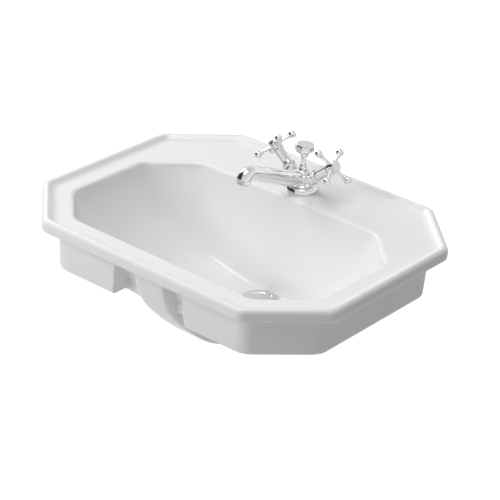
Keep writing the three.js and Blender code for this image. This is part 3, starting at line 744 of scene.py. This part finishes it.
# ------------------------------------------------------------------ tap body
def column():
    foot = BASE_RING_HEIGHT + GAP
    outline = [
        (0, -4),
        (14.9, -4),
        (14.9, foot),
        (19.5, foot),
        (19.1, foot + 2),
        (17, foot + 3.6),
        (15.2, foot + 5.8),
        (12.6, foot + 9),
        (11.2, foot + 14),
        (10.6, COLUMN_TOP - 6),
        (10.4, COLUMN_TOP - 2.6),
        (9.7, COLUMN_TOP - 0.6),
        (8.4, COLUMN_TOP),
        (0, COLUMN_TOP),
    ]
    return turned(outline, 0.6)


def spout():
    """A tapered tube along Z with an elbow that widens and turns down -Y to the nozzle."""

    def section(radius, y, z, turned_by, narrowing=1.0):
        points = []
        for i in range(72):
            angle = math.radians(i * 5)
            across = radius * math.sin(angle)
            height = z + across * math.sin(turned_by)
            x = radius * narrowing * math.cos(angle)
            points.append((x, y + across * math.cos(turned_by), height))
        return points

    elbow_z = SPOUT_REACH - ELBOW_RADIUS
    rings = [section(SPOUT_ROOT_RADIUS, 0, 0, 0, SPOUT_ROOT_NARROWING)]
    for degrees in range(0, 91, 6):
        angle = math.radians(degrees)
        radius = SPOUT_TIP_RADIUS + (ELBOW_END_RADIUS - SPOUT_TIP_RADIUS) * degrees / 90
        y = ELBOW_RADIUS * (math.cos(angle) - 1)
        rings.append(section(radius, y, elbow_z + ELBOW_RADIUS * math.sin(angle), angle))
    rings.append(section(NOZZLE_END_RADIUS + 0.2, 0.5 - NOZZLE_DROP, SPOUT_REACH, math.pi / 2))
    rings.append(section(NOZZLE_END_RADIUS - 0.3, -NOZZLE_DROP, SPOUT_REACH, math.pi / 2))
    return lofted(rings)


def make_tap_body():
    base = TAP.inverted()
    arms, chambers = [], []
    for _, side in SIDES:
        place = base @ valve_place(side)
        arms.append(rod(ARM_RADIUS, ARM_START, ARM_END, 0.8).moved(place))
        chambers.append(rod(6.5, 26, ARM_END + 1).moved(place))
    below_ring = block(-60, 60, -60, 60, -60, BASE_RING_HEIGHT + GAP)
    branches = combine(
        "tap_branches",
        spout().moved(base @ SPOUT),
        add=arms,
        cut=[below_ring],
    )
    inlet_bores = [rod(5, -5, 5).moved(shift(side * INLET_X, INLET_Y)) for _, side in SIDES]
    nozzle_bore = rod(7, -NOZZLE_DROP - 1, -7).moved(base @ NOZZLE)
    body = combine("tap_casting", column(), add=[branches])
    cast(body, 0.55, 9)
    body = combine(
        "tap_casting",
        body,
        cut=chambers
        + inlet_bores
        + [rod(LIFT_ROD_RADIUS + 0.4, -5, COLUMN_TOP + 1), rod(STEM_RADIUS + 0.4, 22, COLUMN_TOP + 1)]
        + [rod(3.3, -5, 8).moved(shift(0, STUD_Y)), nozzle_bore],
    )
    body.data.transform(Matrix.Translation(TAP.translation * MM))
    crisp(body)
    fit(body, "tap_body", ROOT, "chrome")


def base_ring():
    bore = 15.2
    crown = [(BASE_RING_RADIUS, 4.2), (24.6, 5.8), (23.4, 7.4), (22.6, 8.6), (21, BASE_RING_HEIGHT)]
    outline = [(bore, 2.6), (22.7, 2.6), (22.7, GAP), (BASE_RING_RADIUS, GAP)]
    return turned(outline + crown + [(bore, BASE_RING_HEIGHT)], 0.5, 128)


def column_collar():
    z = COLUMN_TOP + GAP
    bore = STEM_RADIUS + 0.4
    bead = [(6.6, z), (6.9, z + 0.7), (6.6, z + 1.5), (6.1, z + 2.1)]
    neck = [(5.9, z + 4), (5.9, z + 6.2), (5.6, z + 7.5), (5.2, z + 8.2)]
    return turned([(bore, z)] + bead + neck + [(bore, z + 8.2)], 0.25)


# ------------------------------------------------------------------ aerator
def aerator_housing():
    lip = -NOZZLE_DROP - GAP
    outline = [(5.2, lip - 1.4), (8.8, lip - 1.4), (9.2, lip), (6.7, lip), (6.7, -9.2), (5.2, -9.2)]
    return turned(outline, 0.2)


def aerator_insert():
    """A round screen with a grid of small square holes."""
    holes = []
    for x in (-3, -1.5, 0, 1.5, 3):
        for y in (-3, -1.5, 0, 1.5, 3):
            if math.hypot(x, y) < 3.8:
                holes.append(block(x - 0.45, x + 0.45, y - 0.45, y + 0.45, -NOZZLE_DROP - 1, -16))
    return combine("aerator_screen", rod(4.9, -NOZZLE_DROP - 0.6, -12), cut=holes)


# ------------------------------------------------------------------ valves and cross handles
SPINDLE_TOP = 84
HUB_BOTTOM = 76.6
HUB_TOP = 91


def fixed_disc(_):
    ports = [rod(1.9, 28, 33, 0).moved(shift(x)) for x in (-3.2, 3.2)]
    return combine("fixed_ceramic_disc", rod(6.2, 28.6, 31.6), cut=ports)


def moving_disc(_):
    ways = [block(-7, 7, 1.4, 7, 31, 33.6), block(-1.3, 1.3, -7, 7, 33.6, 36)]
    return combine("moving_ceramic_disc", rod(6, 31.9, 34.9), cut=ways)


def valve_body(_):
    outline = [(3.4, 35.2), (6.2, 35.2), (6.2, 62), (5.2, 63.5), (5.2, 73), (3.4, 73)]
    return turned(outline)


def knurled_ring(_):
    teeth = 30
    outline = []
    for i in range(teeth * 4):
        angle = 2 * math.pi * i / (teeth * 4)
        radius = 10.8 if i % 4 < 2 else 10.25
        outline.append((radius * math.cos(angle), radius * math.sin(angle)))
    bottom, top = ARM_END + GAP, 48.5
    lower = [(0, bottom), (10.1, bottom), (10.8, bottom + 0.8)]
    upper = [(10.8, top - 0.8), (10.1, top), (0, top)]
    ribs = prism(outline, bottom - 1, top + 1)
    return combine("ribbed_ring", turned(lower + upper), meet=[ribs], cut=[rod(6.5, 40, 50)])


def valve_sleeve(_):
    outline = [
        (6.5, 48.8),
        (8.6, 48.8),
        (8.9, 49.6),
        (8.8, 50.5),
        (8.1, 51.4),
        (7.9, 53),
        (8.2, 59),
        (8.7, 67),
        (9.2, 74.4),
        (9.35, 75.4),
        (9, 76.2),
        (6.5, 76.2),
    ]
    return turned(outline, 0.2, 128)


def spindle(_):
    outline = [(0, 35.6), (3, 35.6), (3, 74), (2.7, 74.4), (2.7, SPINDLE_TOP), (0, SPINDLE_TOP)]
    tongue = block(-1, 1, -2.8, 2.8, 34, 36)
    socket = rod(1.8, 74, SPINDLE_TOP + 1, 0)
    return combine("valve_spindle", turned(outline, 0.2), add=[tongue], cut=[socket])


def spoke():
    """A tapered arm with a collar and a ball end, along Z."""
    arm = [(0, 7), (3.2, 7), (2.9, 9.5), (2.65, 13), (2.5, 18), (2.45, 22), (2.6, 23.6)]
    collar = [(3.1, 24), (3.4, 24.6), (3.4, 25.4), (3.15, 26), (3, 26.6)]
    ball = []
    for angle in range(-60, 91, 10):
        c, s = math.cos(math.radians(angle)), math.sin(math.radians(angle))
        ball.append((BALL_RADIUS * c if angle < 90 else 0, BALL_CIRCLE_RADIUS + BALL_RADIUS * s))
    return turned(arm + collar + ball, 0.1, 40)


def cross_handle(side):
    outline = [
        (3, HUB_BOTTOM),
        (8.4, HUB_BOTTOM),
        (9.3, HUB_BOTTOM + 0.9),
        (9.6, HUB_BOTTOM + 2),
        (9.6, HUB_TOP - 3.6),
        (9.3, HUB_TOP - 1.6),
        (8.6, HUB_TOP),
        (5, HUB_TOP),
        (5, 86.3),
        (3, 86.3),
    ]
    hub = turned(outline, 0.4, 96)
    first = 90 + side * HANDLE_SPLAY
    spokes = []
    for quarter in (0, 90, 180, 270):
        spokes.append(spoke().moved(shift(0, 0, HANDLE_PLANE) @ turn(first + quarter, "Z") @ turn(90, "Y")))
    return combine("cross_handle", hub, add=spokes, cut=[rod(5, 86.3, HUB_TOP + 1, 0), rod(3, 70, 87, 0)])


def handle_screw(_):
    outline = [(0, 76), (1.5, 76), (1.5, 86.6), (4.4, 86.6), (4.4, 88.2), (3.4, 89.2), (0, 89.2)]
    return combine("slotted_screw", turned(outline, 0.2, 48), cut=[block(-3.6, 3.6, -0.5, 0.5, 88.3, 90)])


def index_cap(_):
    seat = HUB_TOP + GAP
    crown = [(9.2, seat), (9.2, seat + 0.9), (8.8, seat + 1.6), (7.8, seat + 2), (0, seat + 2.3)]
    return turned([(0, 89.6), (4.6, 89.6), (4.6, seat)] + crown, 0.3)


# ------------------------------------------------------------------ tap fixings and inlets
STUD_Y = -9.5
INLET_X = 9
INLET_Y = 2.5
DECK_UNDERSIDE = -LEDGE_HEIGHT


def threaded(radius, bottom, top, start, end, pitch, depth, segments=72):
    """A rod with a screw thread cut on its outside from start to end."""
    steps = int((end - start) / pitch * 5)
    climb = [(radius, start + (end - start) * i / steps) for i in range(steps + 1)]
    outline = [(0, bottom), (radius - depth, bottom), (radius, bottom + depth)]
    outline += climb + [(radius, top - 0.2), (0, top)]
    solid = turned(outline, 0, segments)
    points = solid.points
    radii = np.hypot(points[:, 0], points[:, 1])
    turns = np.arctan2(points[:, 1], points[:, 0]) / (2 * math.pi)
    height = points[:, 2]
    wave = np.abs(2 * ((height / pitch - turns) % 1) - 1)
    inside = (np.abs(radii - radius) < 0.01) & (height > start) & (height < end)
    fade = np.clip(np.minimum(height - start, end - height) / pitch, 0, 1)
    scale = 1 - inside * depth * wave * fade / np.maximum(radii, 0.1)
    points[:, 0] *= scale
    points[:, 1] *= scale
    return solid


def horseshoe(bottom, top):
    """A plate that slips round the inlets, with a hole for the stud."""
    outer, slot = 24, 14.6
    opening = math.degrees(math.acos(slot / outer))
    outline = [(slot, -4.4)]
    for step in range(49):
        angle = math.radians(opening - step * (180 + 2 * opening) / 48)
        outline.append((outer * math.cos(angle), outer * math.sin(angle)))
    outline.append((-slot, -4.4))
    plate = prism(outline[::-1], bottom, top)
    return combine("horseshoe", plate, cut=[rod(3.4, bottom - 1, top + 1, 0).moved(shift(0, STUD_Y))])


def nut(across_flats, bottom, top, bore):
    """A hexagon nut with its corners turned off at both ends."""
    corner = across_flats / math.sqrt(3)
    drop = (corner - across_flats / 2) * 0.6
    outline = [
        (0, bottom),
        (across_flats / 2, bottom),
        (corner, bottom + drop),
        (corner, top - drop),
        (across_flats / 2, top),
        (0, top),
    ]
    blank = turned(outline, 0)
    sides = prism(regular(6, across_flats, math.pi / 6), bottom - 1, top + 1)
    return combine("hexagon_nut", blank, meet=[sides], cut=[rod(bore, bottom - 2, top + 2, 0)])


def inlet():
    outline = [
        (3, -36),
        (4.7, -36),
        (4.7, -30),
        (6, -29.5),
        (6, -25),
        (4.7, -24.5),
        (4.7, 4.6),
        (3, 4.6),
    ]
    return turned(outline, 0.25)


# ------------------------------------------------------------------ lift knob and linkage
KNOB_BOTTOM = 58
KNOB_TOP = 80
STEM_TOP = 72
CLEVIS_TOP_Z = -186
CLEVIS_BOTTOM_Z = -227
CLEVIS_HALF = 6
CLEVIS_SCREW_Z = -195


def lift_knob():
    outline = [
        (0, KNOB_BOTTOM),
        (5.6, KNOB_BOTTOM),
        (6.4, KNOB_BOTTOM + 1.6),
        (5.8, KNOB_BOTTOM + 4),
        (13.6, KNOB_BOTTOM + 9.5),
        (15.4, KNOB_BOTTOM + 12.5),
        (15.4, KNOB_TOP - 3),
        (13.4, KNOB_TOP - 0.7),
        (0, KNOB_TOP),
    ]
    facets = turned(outline, 0, 8).moved(turn(22.5, "Z"))
    knob = combine("faceted_knob", facets, cut=[rod(STEM_RADIUS + GAP, KNOB_BOTTOM - 1, STEM_TOP + 0.4, 0)])
    bevelled(knob, 0.55)
    return knob


def lift_rod():
    bottom = CLEVIS_TOP_Z - 16
    stem_bottom = LEDGE_HEIGHT + COLUMN_TOP
    top = LEDGE_HEIGHT + STEM_TOP
    thin = [(0, bottom), (LIFT_ROD_RADIUS, bottom), (LIFT_ROD_RADIUS, stem_bottom)]
    return turned(thin + [(STEM_RADIUS, stem_bottom + 1), (STEM_RADIUS, top), (0, top)], 0.3, 64)


def clevis():
    half = CLEVIS_HALF
    bar = block(-half, half, -half, half, CLEVIS_BOTTOM_Z, CLEVIS_TOP_Z)
    bores = [
        rod(LIFT_ROD_RADIUS + GAP, CLEVIS_TOP_Z - 17, CLEVIS_TOP_Z + 1, 0),
        block(-2.5, 2.5, -7, 7, PIVOT_Z - 5, PIVOT_Z + 5),
        rod(2.3, 2, 7, 0).moved(shift(0, 0, CLEVIS_SCREW_Z) @ turn(90, "Y")),
    ]
    made = combine("clevis_bar", bar, cut=bores)
    bevelled(made, 0.5, 2)
    return made


def clevis_screw():
    """A thumbscrew with a milled head."""
    head = []
    for i in range(48):
        angle = 2 * math.pi * i / 48
        radius = 4 if i % 4 < 2 else 3.7
        head.append((radius * math.cos(angle), radius * math.sin(angle)))
    blank = turned([(0, 3), (2, 3), (2, 6.4), (4, 6.4), (4, 12), (3, 13), (0, 13)], 0.2)
    envelope = combine("head", prism(head, 6, 14), add=[rod(2.4, 2, 7, 0)])
    return combine("thumbscrew", blank, meet=[envelope])


# ------------------------------------------------------------------ waste
OVERFLOW_PORT_Z = -174


def overflow_port():
    return block(-7, 7, -30, 30, OVERFLOW_PORT_Z - 7, OVERFLOW_PORT_Z + 7)


def waste_flange():
    outline = [
        (15.2, -184),
        (17, -184),
        (17, -161),
        (21, -161),
        (21, -152.2),
        (31.2, -152.1),
        (31.7, -151.7),
        (31.6, -151.1),
        (30.6, -150.5),
        (27, -150.5),
        (23, -150.9),
        (21.8, -151.6),
        (20, -153.8),
        (18.2, -156),
        (18.2, -158.5),
        (15.2, -160),
    ]
    return combine("waste_flange_ring", turned(outline, 0.3, 128), cut=[overflow_port()])


def waste_body():
    tube = threaded(19.5, -227, -161.5, -226, -186, 1.8, 0.75)
    tail = turned([(0, -243), (16, -243), (16, -230), (19, -226.6), (0, -226.6)], 0.4)
    bore = turned(
        [
            (0, -244),
            (13.5, -244),
            (13.5, -232),
            (15.2, -229),
            (15.2, -184.5),
            (17.3, -184.5),
            (17.3, -160),
            (0, -160),
        ],
        0.3,
    )
    to_pivot = WASTE.inverted() @ PIVOT
    port = rod(8.4, 10, 30, 0.3).moved(to_pivot)
    ball_bore = rod(6.3, 17, 31, 0).moved(to_pivot)
    rod_way = rod(4.4, 10, 18, 0).moved(to_pivot)
    return combine("waste_tube", tube, add=[tail, port], cut=[bore, ball_bore, rod_way, overflow_port()])


def lower_seal():
    outline = [(19.8, -195.5), (27.5, -195.5), (27.5, -191.5), (24.5, -187.3), (19.8, -187.3)]
    return turned(outline, 0.8)


def plug_disc():
    outline = [
        (0, -158),
        (13.9, -158),
        (13.9, -155.2),
        (16, -154.9),
        (20.4, -152.2),
        (21.1, -151.6),
        (21.1, -151.1),
        (20.4, -150.6),
        (17.4, -150),
        (12, -149.4),
        (6, -149),
        (0, -148.9),
    ]
    return combine("plug_dome", turned(outline, 0.3, 128), cut=[rod(3.3, -159, -153, 0)])


def plug_stem():
    outline = [(0, -214.5), (4, -214.5), (4, -209.5), (3, -208), (3, -153.4), (0, -153.4)]
    fins = [block(1, 14.2, -0.8, 0.8, -206, -190).moved(turn(angle, "Z")) for angle in (30, 150, 270)]
    return combine("finned_stem", turned(outline, 0.4, 64), add=fins)


def pivot_rod():
    ball = []
    for angle in range(-66, 67, 12):
        c, s = math.cos(math.radians(angle)), math.sin(math.radians(angle))
        ball.append((5 * c, PIVOT_Y + 5 * s))
    rear_end = TAP_Y - DRAIN_Y + 13
    return turned([(0, -2), (2, -2)] + ball + [(2, rear_end), (0, rear_end)], 0.3, 64)


def pivot_nut():
    return combine("pivot_cap_nut", nut(21, 25, 34, 4.6), cut=[rod(8.7, 24, 31, 0)])


# ------------------------------------------------------------------ every piece but the basin
def put(name, node, made, place, body, slot, degrees=35):
    """Moves a finished shape to its place and lets it stand for its CAD node."""
    piece = made if isinstance(made, bpy.types.Object) else object_of(name, made)
    piece.name = name
    piece.data.name = name
    matrix = place.copy()
    matrix.translation *= MM
    piece.data.transform(matrix)
    crisp(piece, degrees)
    fit(piece, node, body, slot)


VALVE_PIECES = (
    ("seat_seal", lambda side: ring(3, 6.2, 26.3, 28.3, 0.5), "rubber", False),
    ("fixed_disc", fixed_disc, "alumina", False),
    ("moving_disc", moving_disc, "alumina", True),
    ("valve_body", valve_body, "brass", False),
    ("knurled_ring", knurled_ring, "chrome", False),
    ("valve_sleeve", valve_sleeve, "chrome", False),
    ("spindle", spindle, "brass", True),
    ("handle", cross_handle, "chrome", True),
    ("handle_screw", handle_screw, "steel", True),
    ("index_cap", index_cap, "chrome", True),
)


def make_valves():
    for prefix, side in SIDES:
        for node, make, slot, turns in VALVE_PIECES:
            body = prefix + "handle" if turns else ROOT
            put("fine_" + prefix + node, prefix + node, make(side), valve_place(side), body, slot)


def make_tap_pieces():
    stud = TAP @ shift(0, STUD_Y)
    pieces = (
        ("base_ring", base_ring(), TAP, "chrome"),
        ("base_seal", ring(15.5, 22.4, GAP, 2.3, 0.3), TAP, "rubber"),
        ("column_collar", column_collar(), TAP, "chrome"),
        ("aerator_housing", aerator_housing(), NOZZLE, "chrome"),
        ("aerator_insert", aerator_insert(), NOZZLE, "nylon"),
        ("aerator_seal", ring(4.4, 6.6, -8.9, -7.4, 0.4), NOZZLE, "rubber"),
        ("mounting_stud", threaded(3, -48, 7.6, -47, 6, 1.0, 0.4, segments=40), stud, "brass"),
        ("mounting_gasket", horseshoe(DECK_UNDERSIDE - 3.3, DECK_UNDERSIDE - GAP), TAP, "rubber"),
        ("mounting_washer", horseshoe(DECK_UNDERSIDE - 6.1, DECK_UNDERSIDE - 3.6), TAP, "steel"),
        ("mounting_nut", nut(10, DECK_UNDERSIDE - 13.4, DECK_UNDERSIDE - 6.4, 3.3), stud, "brass"),
        ("hot_inlet", inlet(), TAP @ shift(-INLET_X, INLET_Y), "brass"),
        ("cold_inlet", inlet(), TAP @ shift(INLET_X, INLET_Y), "brass"),
    )
    for node, made, place, slot in pieces:
        put("fine_" + node, node, made, place, ROOT, slot)


def make_linkage():
    screw = shift(0, 0, CLEVIS_SCREW_Z) @ turn(90, "Y")
    pieces = (
        ("lift_knob", lift_knob(), TAP, "chrome"),
        ("lift_rod", lift_rod(), LINKAGE, "chrome"),
        ("clevis", clevis(), LINKAGE, "brass"),
        ("clevis_screw", clevis_screw(), LINKAGE @ screw, "steel"),
    )
    for node, made, place, slot in pieces:
        put("fine_" + node, node, made, place, "lift_rod", slot, 25)


def make_waste():
    pieces = (
        ("waste_flange", waste_flange(), WASTE, ROOT, "chrome"),
        ("flange_seal", ring(22.6, 30.4, -153.5, -152.5, 0.3), WASTE, ROOT, "rubber"),
        ("waste_body", waste_body(), WASTE, ROOT, "brass"),
        ("lower_seal", lower_seal(), WASTE, ROOT, "rubber"),
        ("slip_washer", ring(19.8, 27.5, -197, -195.8, 0.3), WASTE, ROOT, "nylon"),
        ("back_nut", nut(50, -204, -197.3, 19.8), WASTE, ROOT, "brass"),
        ("plug_disc", plug_disc(), WASTE, "plug", "chrome"),
        ("plug_seal", ring(14.2, 16.6, -157.4, -155.6, 0.7), WASTE, "plug", "rubber"),
        ("plug_stem", plug_stem(), WASTE, "plug", "nylon"),
        ("pivot_rod", pivot_rod(), PIVOT, "pivot_rod", "brass"),
        ("inner_ball_seat", ring(3.9, 6, 17.3, 20.3, 0.3), PIVOT, ROOT, "nylon"),
        ("outer_ball_seat", ring(3.9, 6, 27.7, 30.7, 0.3), PIVOT, ROOT, "nylon"),
        ("pivot_nut", pivot_nut(), PIVOT, ROOT, "brass"),
    )
    for node, made, place, body, slot in pieces:
        put("fine_" + node, node, made, place, body, slot)


# ------------------------------------------------------------------ materials
class Look:
    """A material with one Principled shader, and short ways to drive it from noise."""

    def __init__(self, name, colour, roughness, metallic=0.0):
        self.material = bpy.data.materials.new(name)
        self.material.use_nodes = True
        self.tree = self.material.node_tree
        self.shader = self.tree.nodes["Principled BSDF"]
        self.shader.inputs["Base Color"].default_value = (*colour, 1)
        self.shader.inputs["Roughness"].default_value = roughness
        self.shader.inputs["Metallic"].default_value = metallic
        self.place = self.node("ShaderNodeTexCoord").outputs["Object"]
        self.normal = None

    def node(self, kind):
        return self.tree.nodes.new(kind)

    def link(self, source, target):
        self.tree.links.new(source, target)

    def noise(self, scale, detail=3.0, stretch=(1, 1, 1)):
        spread = self.node("ShaderNodeMapping")
        spread.inputs["Scale"].default_value = stretch
        grain = self.node("ShaderNodeTexNoise")
        grain.inputs["Scale"].default_value = scale
        grain.inputs["Detail"].default_value = detail
        self.link(self.place, spread.inputs["Vector"])
        self.link(spread.outputs["Vector"], grain.inputs["Vector"])
        return grain.outputs["Fac"]

    def ranged(self, value, low, high, start=0.3, end=0.7):
        span = self.node("ShaderNodeMapRange")
        for name, number in (("From Min", start), ("From Max", end), ("To Min", low), ("To Max", high)):
            span.inputs[name].default_value = number
        self.link(value, span.inputs["Value"])
        return span.outputs["Result"]

    def times(self, first, second):
        product = self.node("ShaderNodeMath")
        product.operation = "MULTIPLY"
        self.link(first, product.inputs[0])
        self.link(second, product.inputs[1])
        return product.outputs[0]

    def blend(self, factor, first, second):
        """A mix of two colours, or of two values; each may be a socket or a constant."""
        mix = self.node("ShaderNodeMix")
        of_colours = isinstance(second, tuple) or getattr(first, "type", "") == "RGBA"
        mix.data_type = "RGBA" if of_colours else "FLOAT"
        first_input, second_input, result = (6, 7, 2) if of_colours else (2, 3, 0)
        self.link(factor, mix.inputs[0])
        for index, value in ((first_input, first), (second_input, second)):
            if hasattr(value, "links"):
                self.link(value, mix.inputs[index])
            else:
                mix.inputs[index].default_value = (*value, 1) if isinstance(value, tuple) else value
        return mix.outputs[result]

    def colour(self, socket):
        self.link(socket, self.shader.inputs["Base Color"])

    def roughness(self, socket):
        self.link(socket, self.shader.inputs["Roughness"])

    def bump(self, height, depth_mm):
        bump = self.node("ShaderNodeBump")
        bump.inputs["Distance"].default_value = depth_mm * MM
        bump.inputs["Strength"].default_value = 1
        self.link(height, bump.inputs["Height"])
        if self.normal:
            self.link(self.normal, bump.inputs["Normal"])
        self.normal = bump.outputs["Normal"]
        self.link(self.normal, self.shader.inputs["Normal"])


def china():
    """White glaze over fired clay, with the foot's flat underside left bare."""
    look = Look("glazed_china", (0.88, 0.88, 0.875), 0.1)
    look.shader.inputs["IOR"].default_value = 1.52
    surface = look.node("ShaderNodeNewGeometry")
    facing = look.node("ShaderNodeSeparateXYZ")
    height = look.node("ShaderNodeSeparateXYZ")
    look.link(surface.outputs["Normal"], facing.inputs[0])
    look.link(look.place, height.inputs[0])
    downward = look.ranged(facing.outputs["Z"], 1, 0, -0.97, -0.88)
    foot = -SKIRT_DEPTH
    low = look.ranged(height.outputs["Z"], 1, 0, (foot + 0.8) * MM, (foot + 2.5) * MM)
    not_lower = look.ranged(height.outputs["Z"], 0, 1, (foot - 3) * MM, (foot - 2) * MM)
    bare = look.times(look.times(downward, low), not_lower)
    glaze = look.blend(look.noise(7, 2), (0.87, 0.87, 0.862), (0.895, 0.895, 0.89))
    clay = look.blend(look.noise(420, 4), (0.60, 0.55, 0.47), (0.72, 0.68, 0.61))
    look.colour(look.blend(bare, glaze, clay))
    gloss = look.ranged(look.noise(26, 3), 0.07, 0.13)
    look.roughness(look.blend(bare, gloss, 0.85))
    look.bump(look.noise(11, 1), 0.35)
    look.bump(look.noise(160, 2), 0.012)
    look.bump(look.times(bare, look.noise(900, 3)), 0.15)
    return look.material


def chrome():
    look = Look("polished_chrome", (0.82, 0.83, 0.84), 0.05, 1)
    look.colour(look.blend(look.noise(35, 2), (0.80, 0.81, 0.825), (0.86, 0.865, 0.87)))
    look.roughness(look.ranged(look.noise(90, 4), 0.03, 0.1))
    look.bump(look.noise(55, 1), 0.02)
    look.bump(look.noise(2600, 2), 0.0006)
    return look.material


def brass():
    look = Look("machined_brass", (0.6, 0.45, 0.2), 0.33, 1)
    look.colour(look.blend(look.noise(60, 4), (0.50, 0.355, 0.15), (0.66, 0.50, 0.235)))
    look.roughness(look.ranged(look.noise(240, 4), 0.24, 0.44))
    look.bump(look.noise(1700, 2, (1, 1, 6)), 0.006)
    return look.material


def steel():
    look = Look("brushed_steel", (0.56, 0.57, 0.58), 0.35, 1)
    strokes = look.noise(260, 3, (1, 14, 14))
    look.colour(look.blend(strokes, (0.50, 0.51, 0.52), (0.62, 0.63, 0.64)))
    look.roughness(look.ranged(strokes, 0.26, 0.42))
    look.bump(strokes, 0.006)
    return look.material


def rubber():
    look = Look("black_rubber", (0.02, 0.02, 0.021), 0.8)
    look.colour(look.blend(look.noise(150, 4), (0.014, 0.014, 0.015), (0.032, 0.032, 0.034)))
    look.roughness(look.ranged(look.noise(500, 3), 0.68, 0.88))
    look.bump(look.noise(1500, 3), 0.02)
    return look.material


def nylon():
    look = Look("moulded_nylon", (0.78, 0.77, 0.72), 0.5)
    look.colour(look.blend(look.noise(80, 3), (0.74, 0.73, 0.675), (0.82, 0.81, 0.77)))
    look.roughness(look.ranged(look.noise(400, 3), 0.42, 0.6))
    look.bump(look.noise(1100, 3), 0.01)
    return look.material


def alumina():
    look = Look("sintered_alumina", (0.83, 0.81, 0.74), 0.3)
    look.colour(look.blend(look.noise(900, 4), (0.76, 0.735, 0.66), (0.88, 0.865, 0.81)))
    look.roughness(look.ranged(look.noise(600, 3), 0.22, 0.4))
    look.bump(look.noise(2000, 2), 0.003)
    return look.material


LOOKS = {
    "basin": china(),
    "chrome": chrome(),
    "brass": brass(),
    "steel": steel(),
    "rubber": rubber(),
    "nylon": nylon(),
    "alumina": alumina(),
}

make_camera()
make_world()
light_studio()
make_floor()
make_basin()
make_tap_body()
make_tap_pieces()
make_valves()
make_linkage()
make_waste()

bpy.context.view_layer.update()
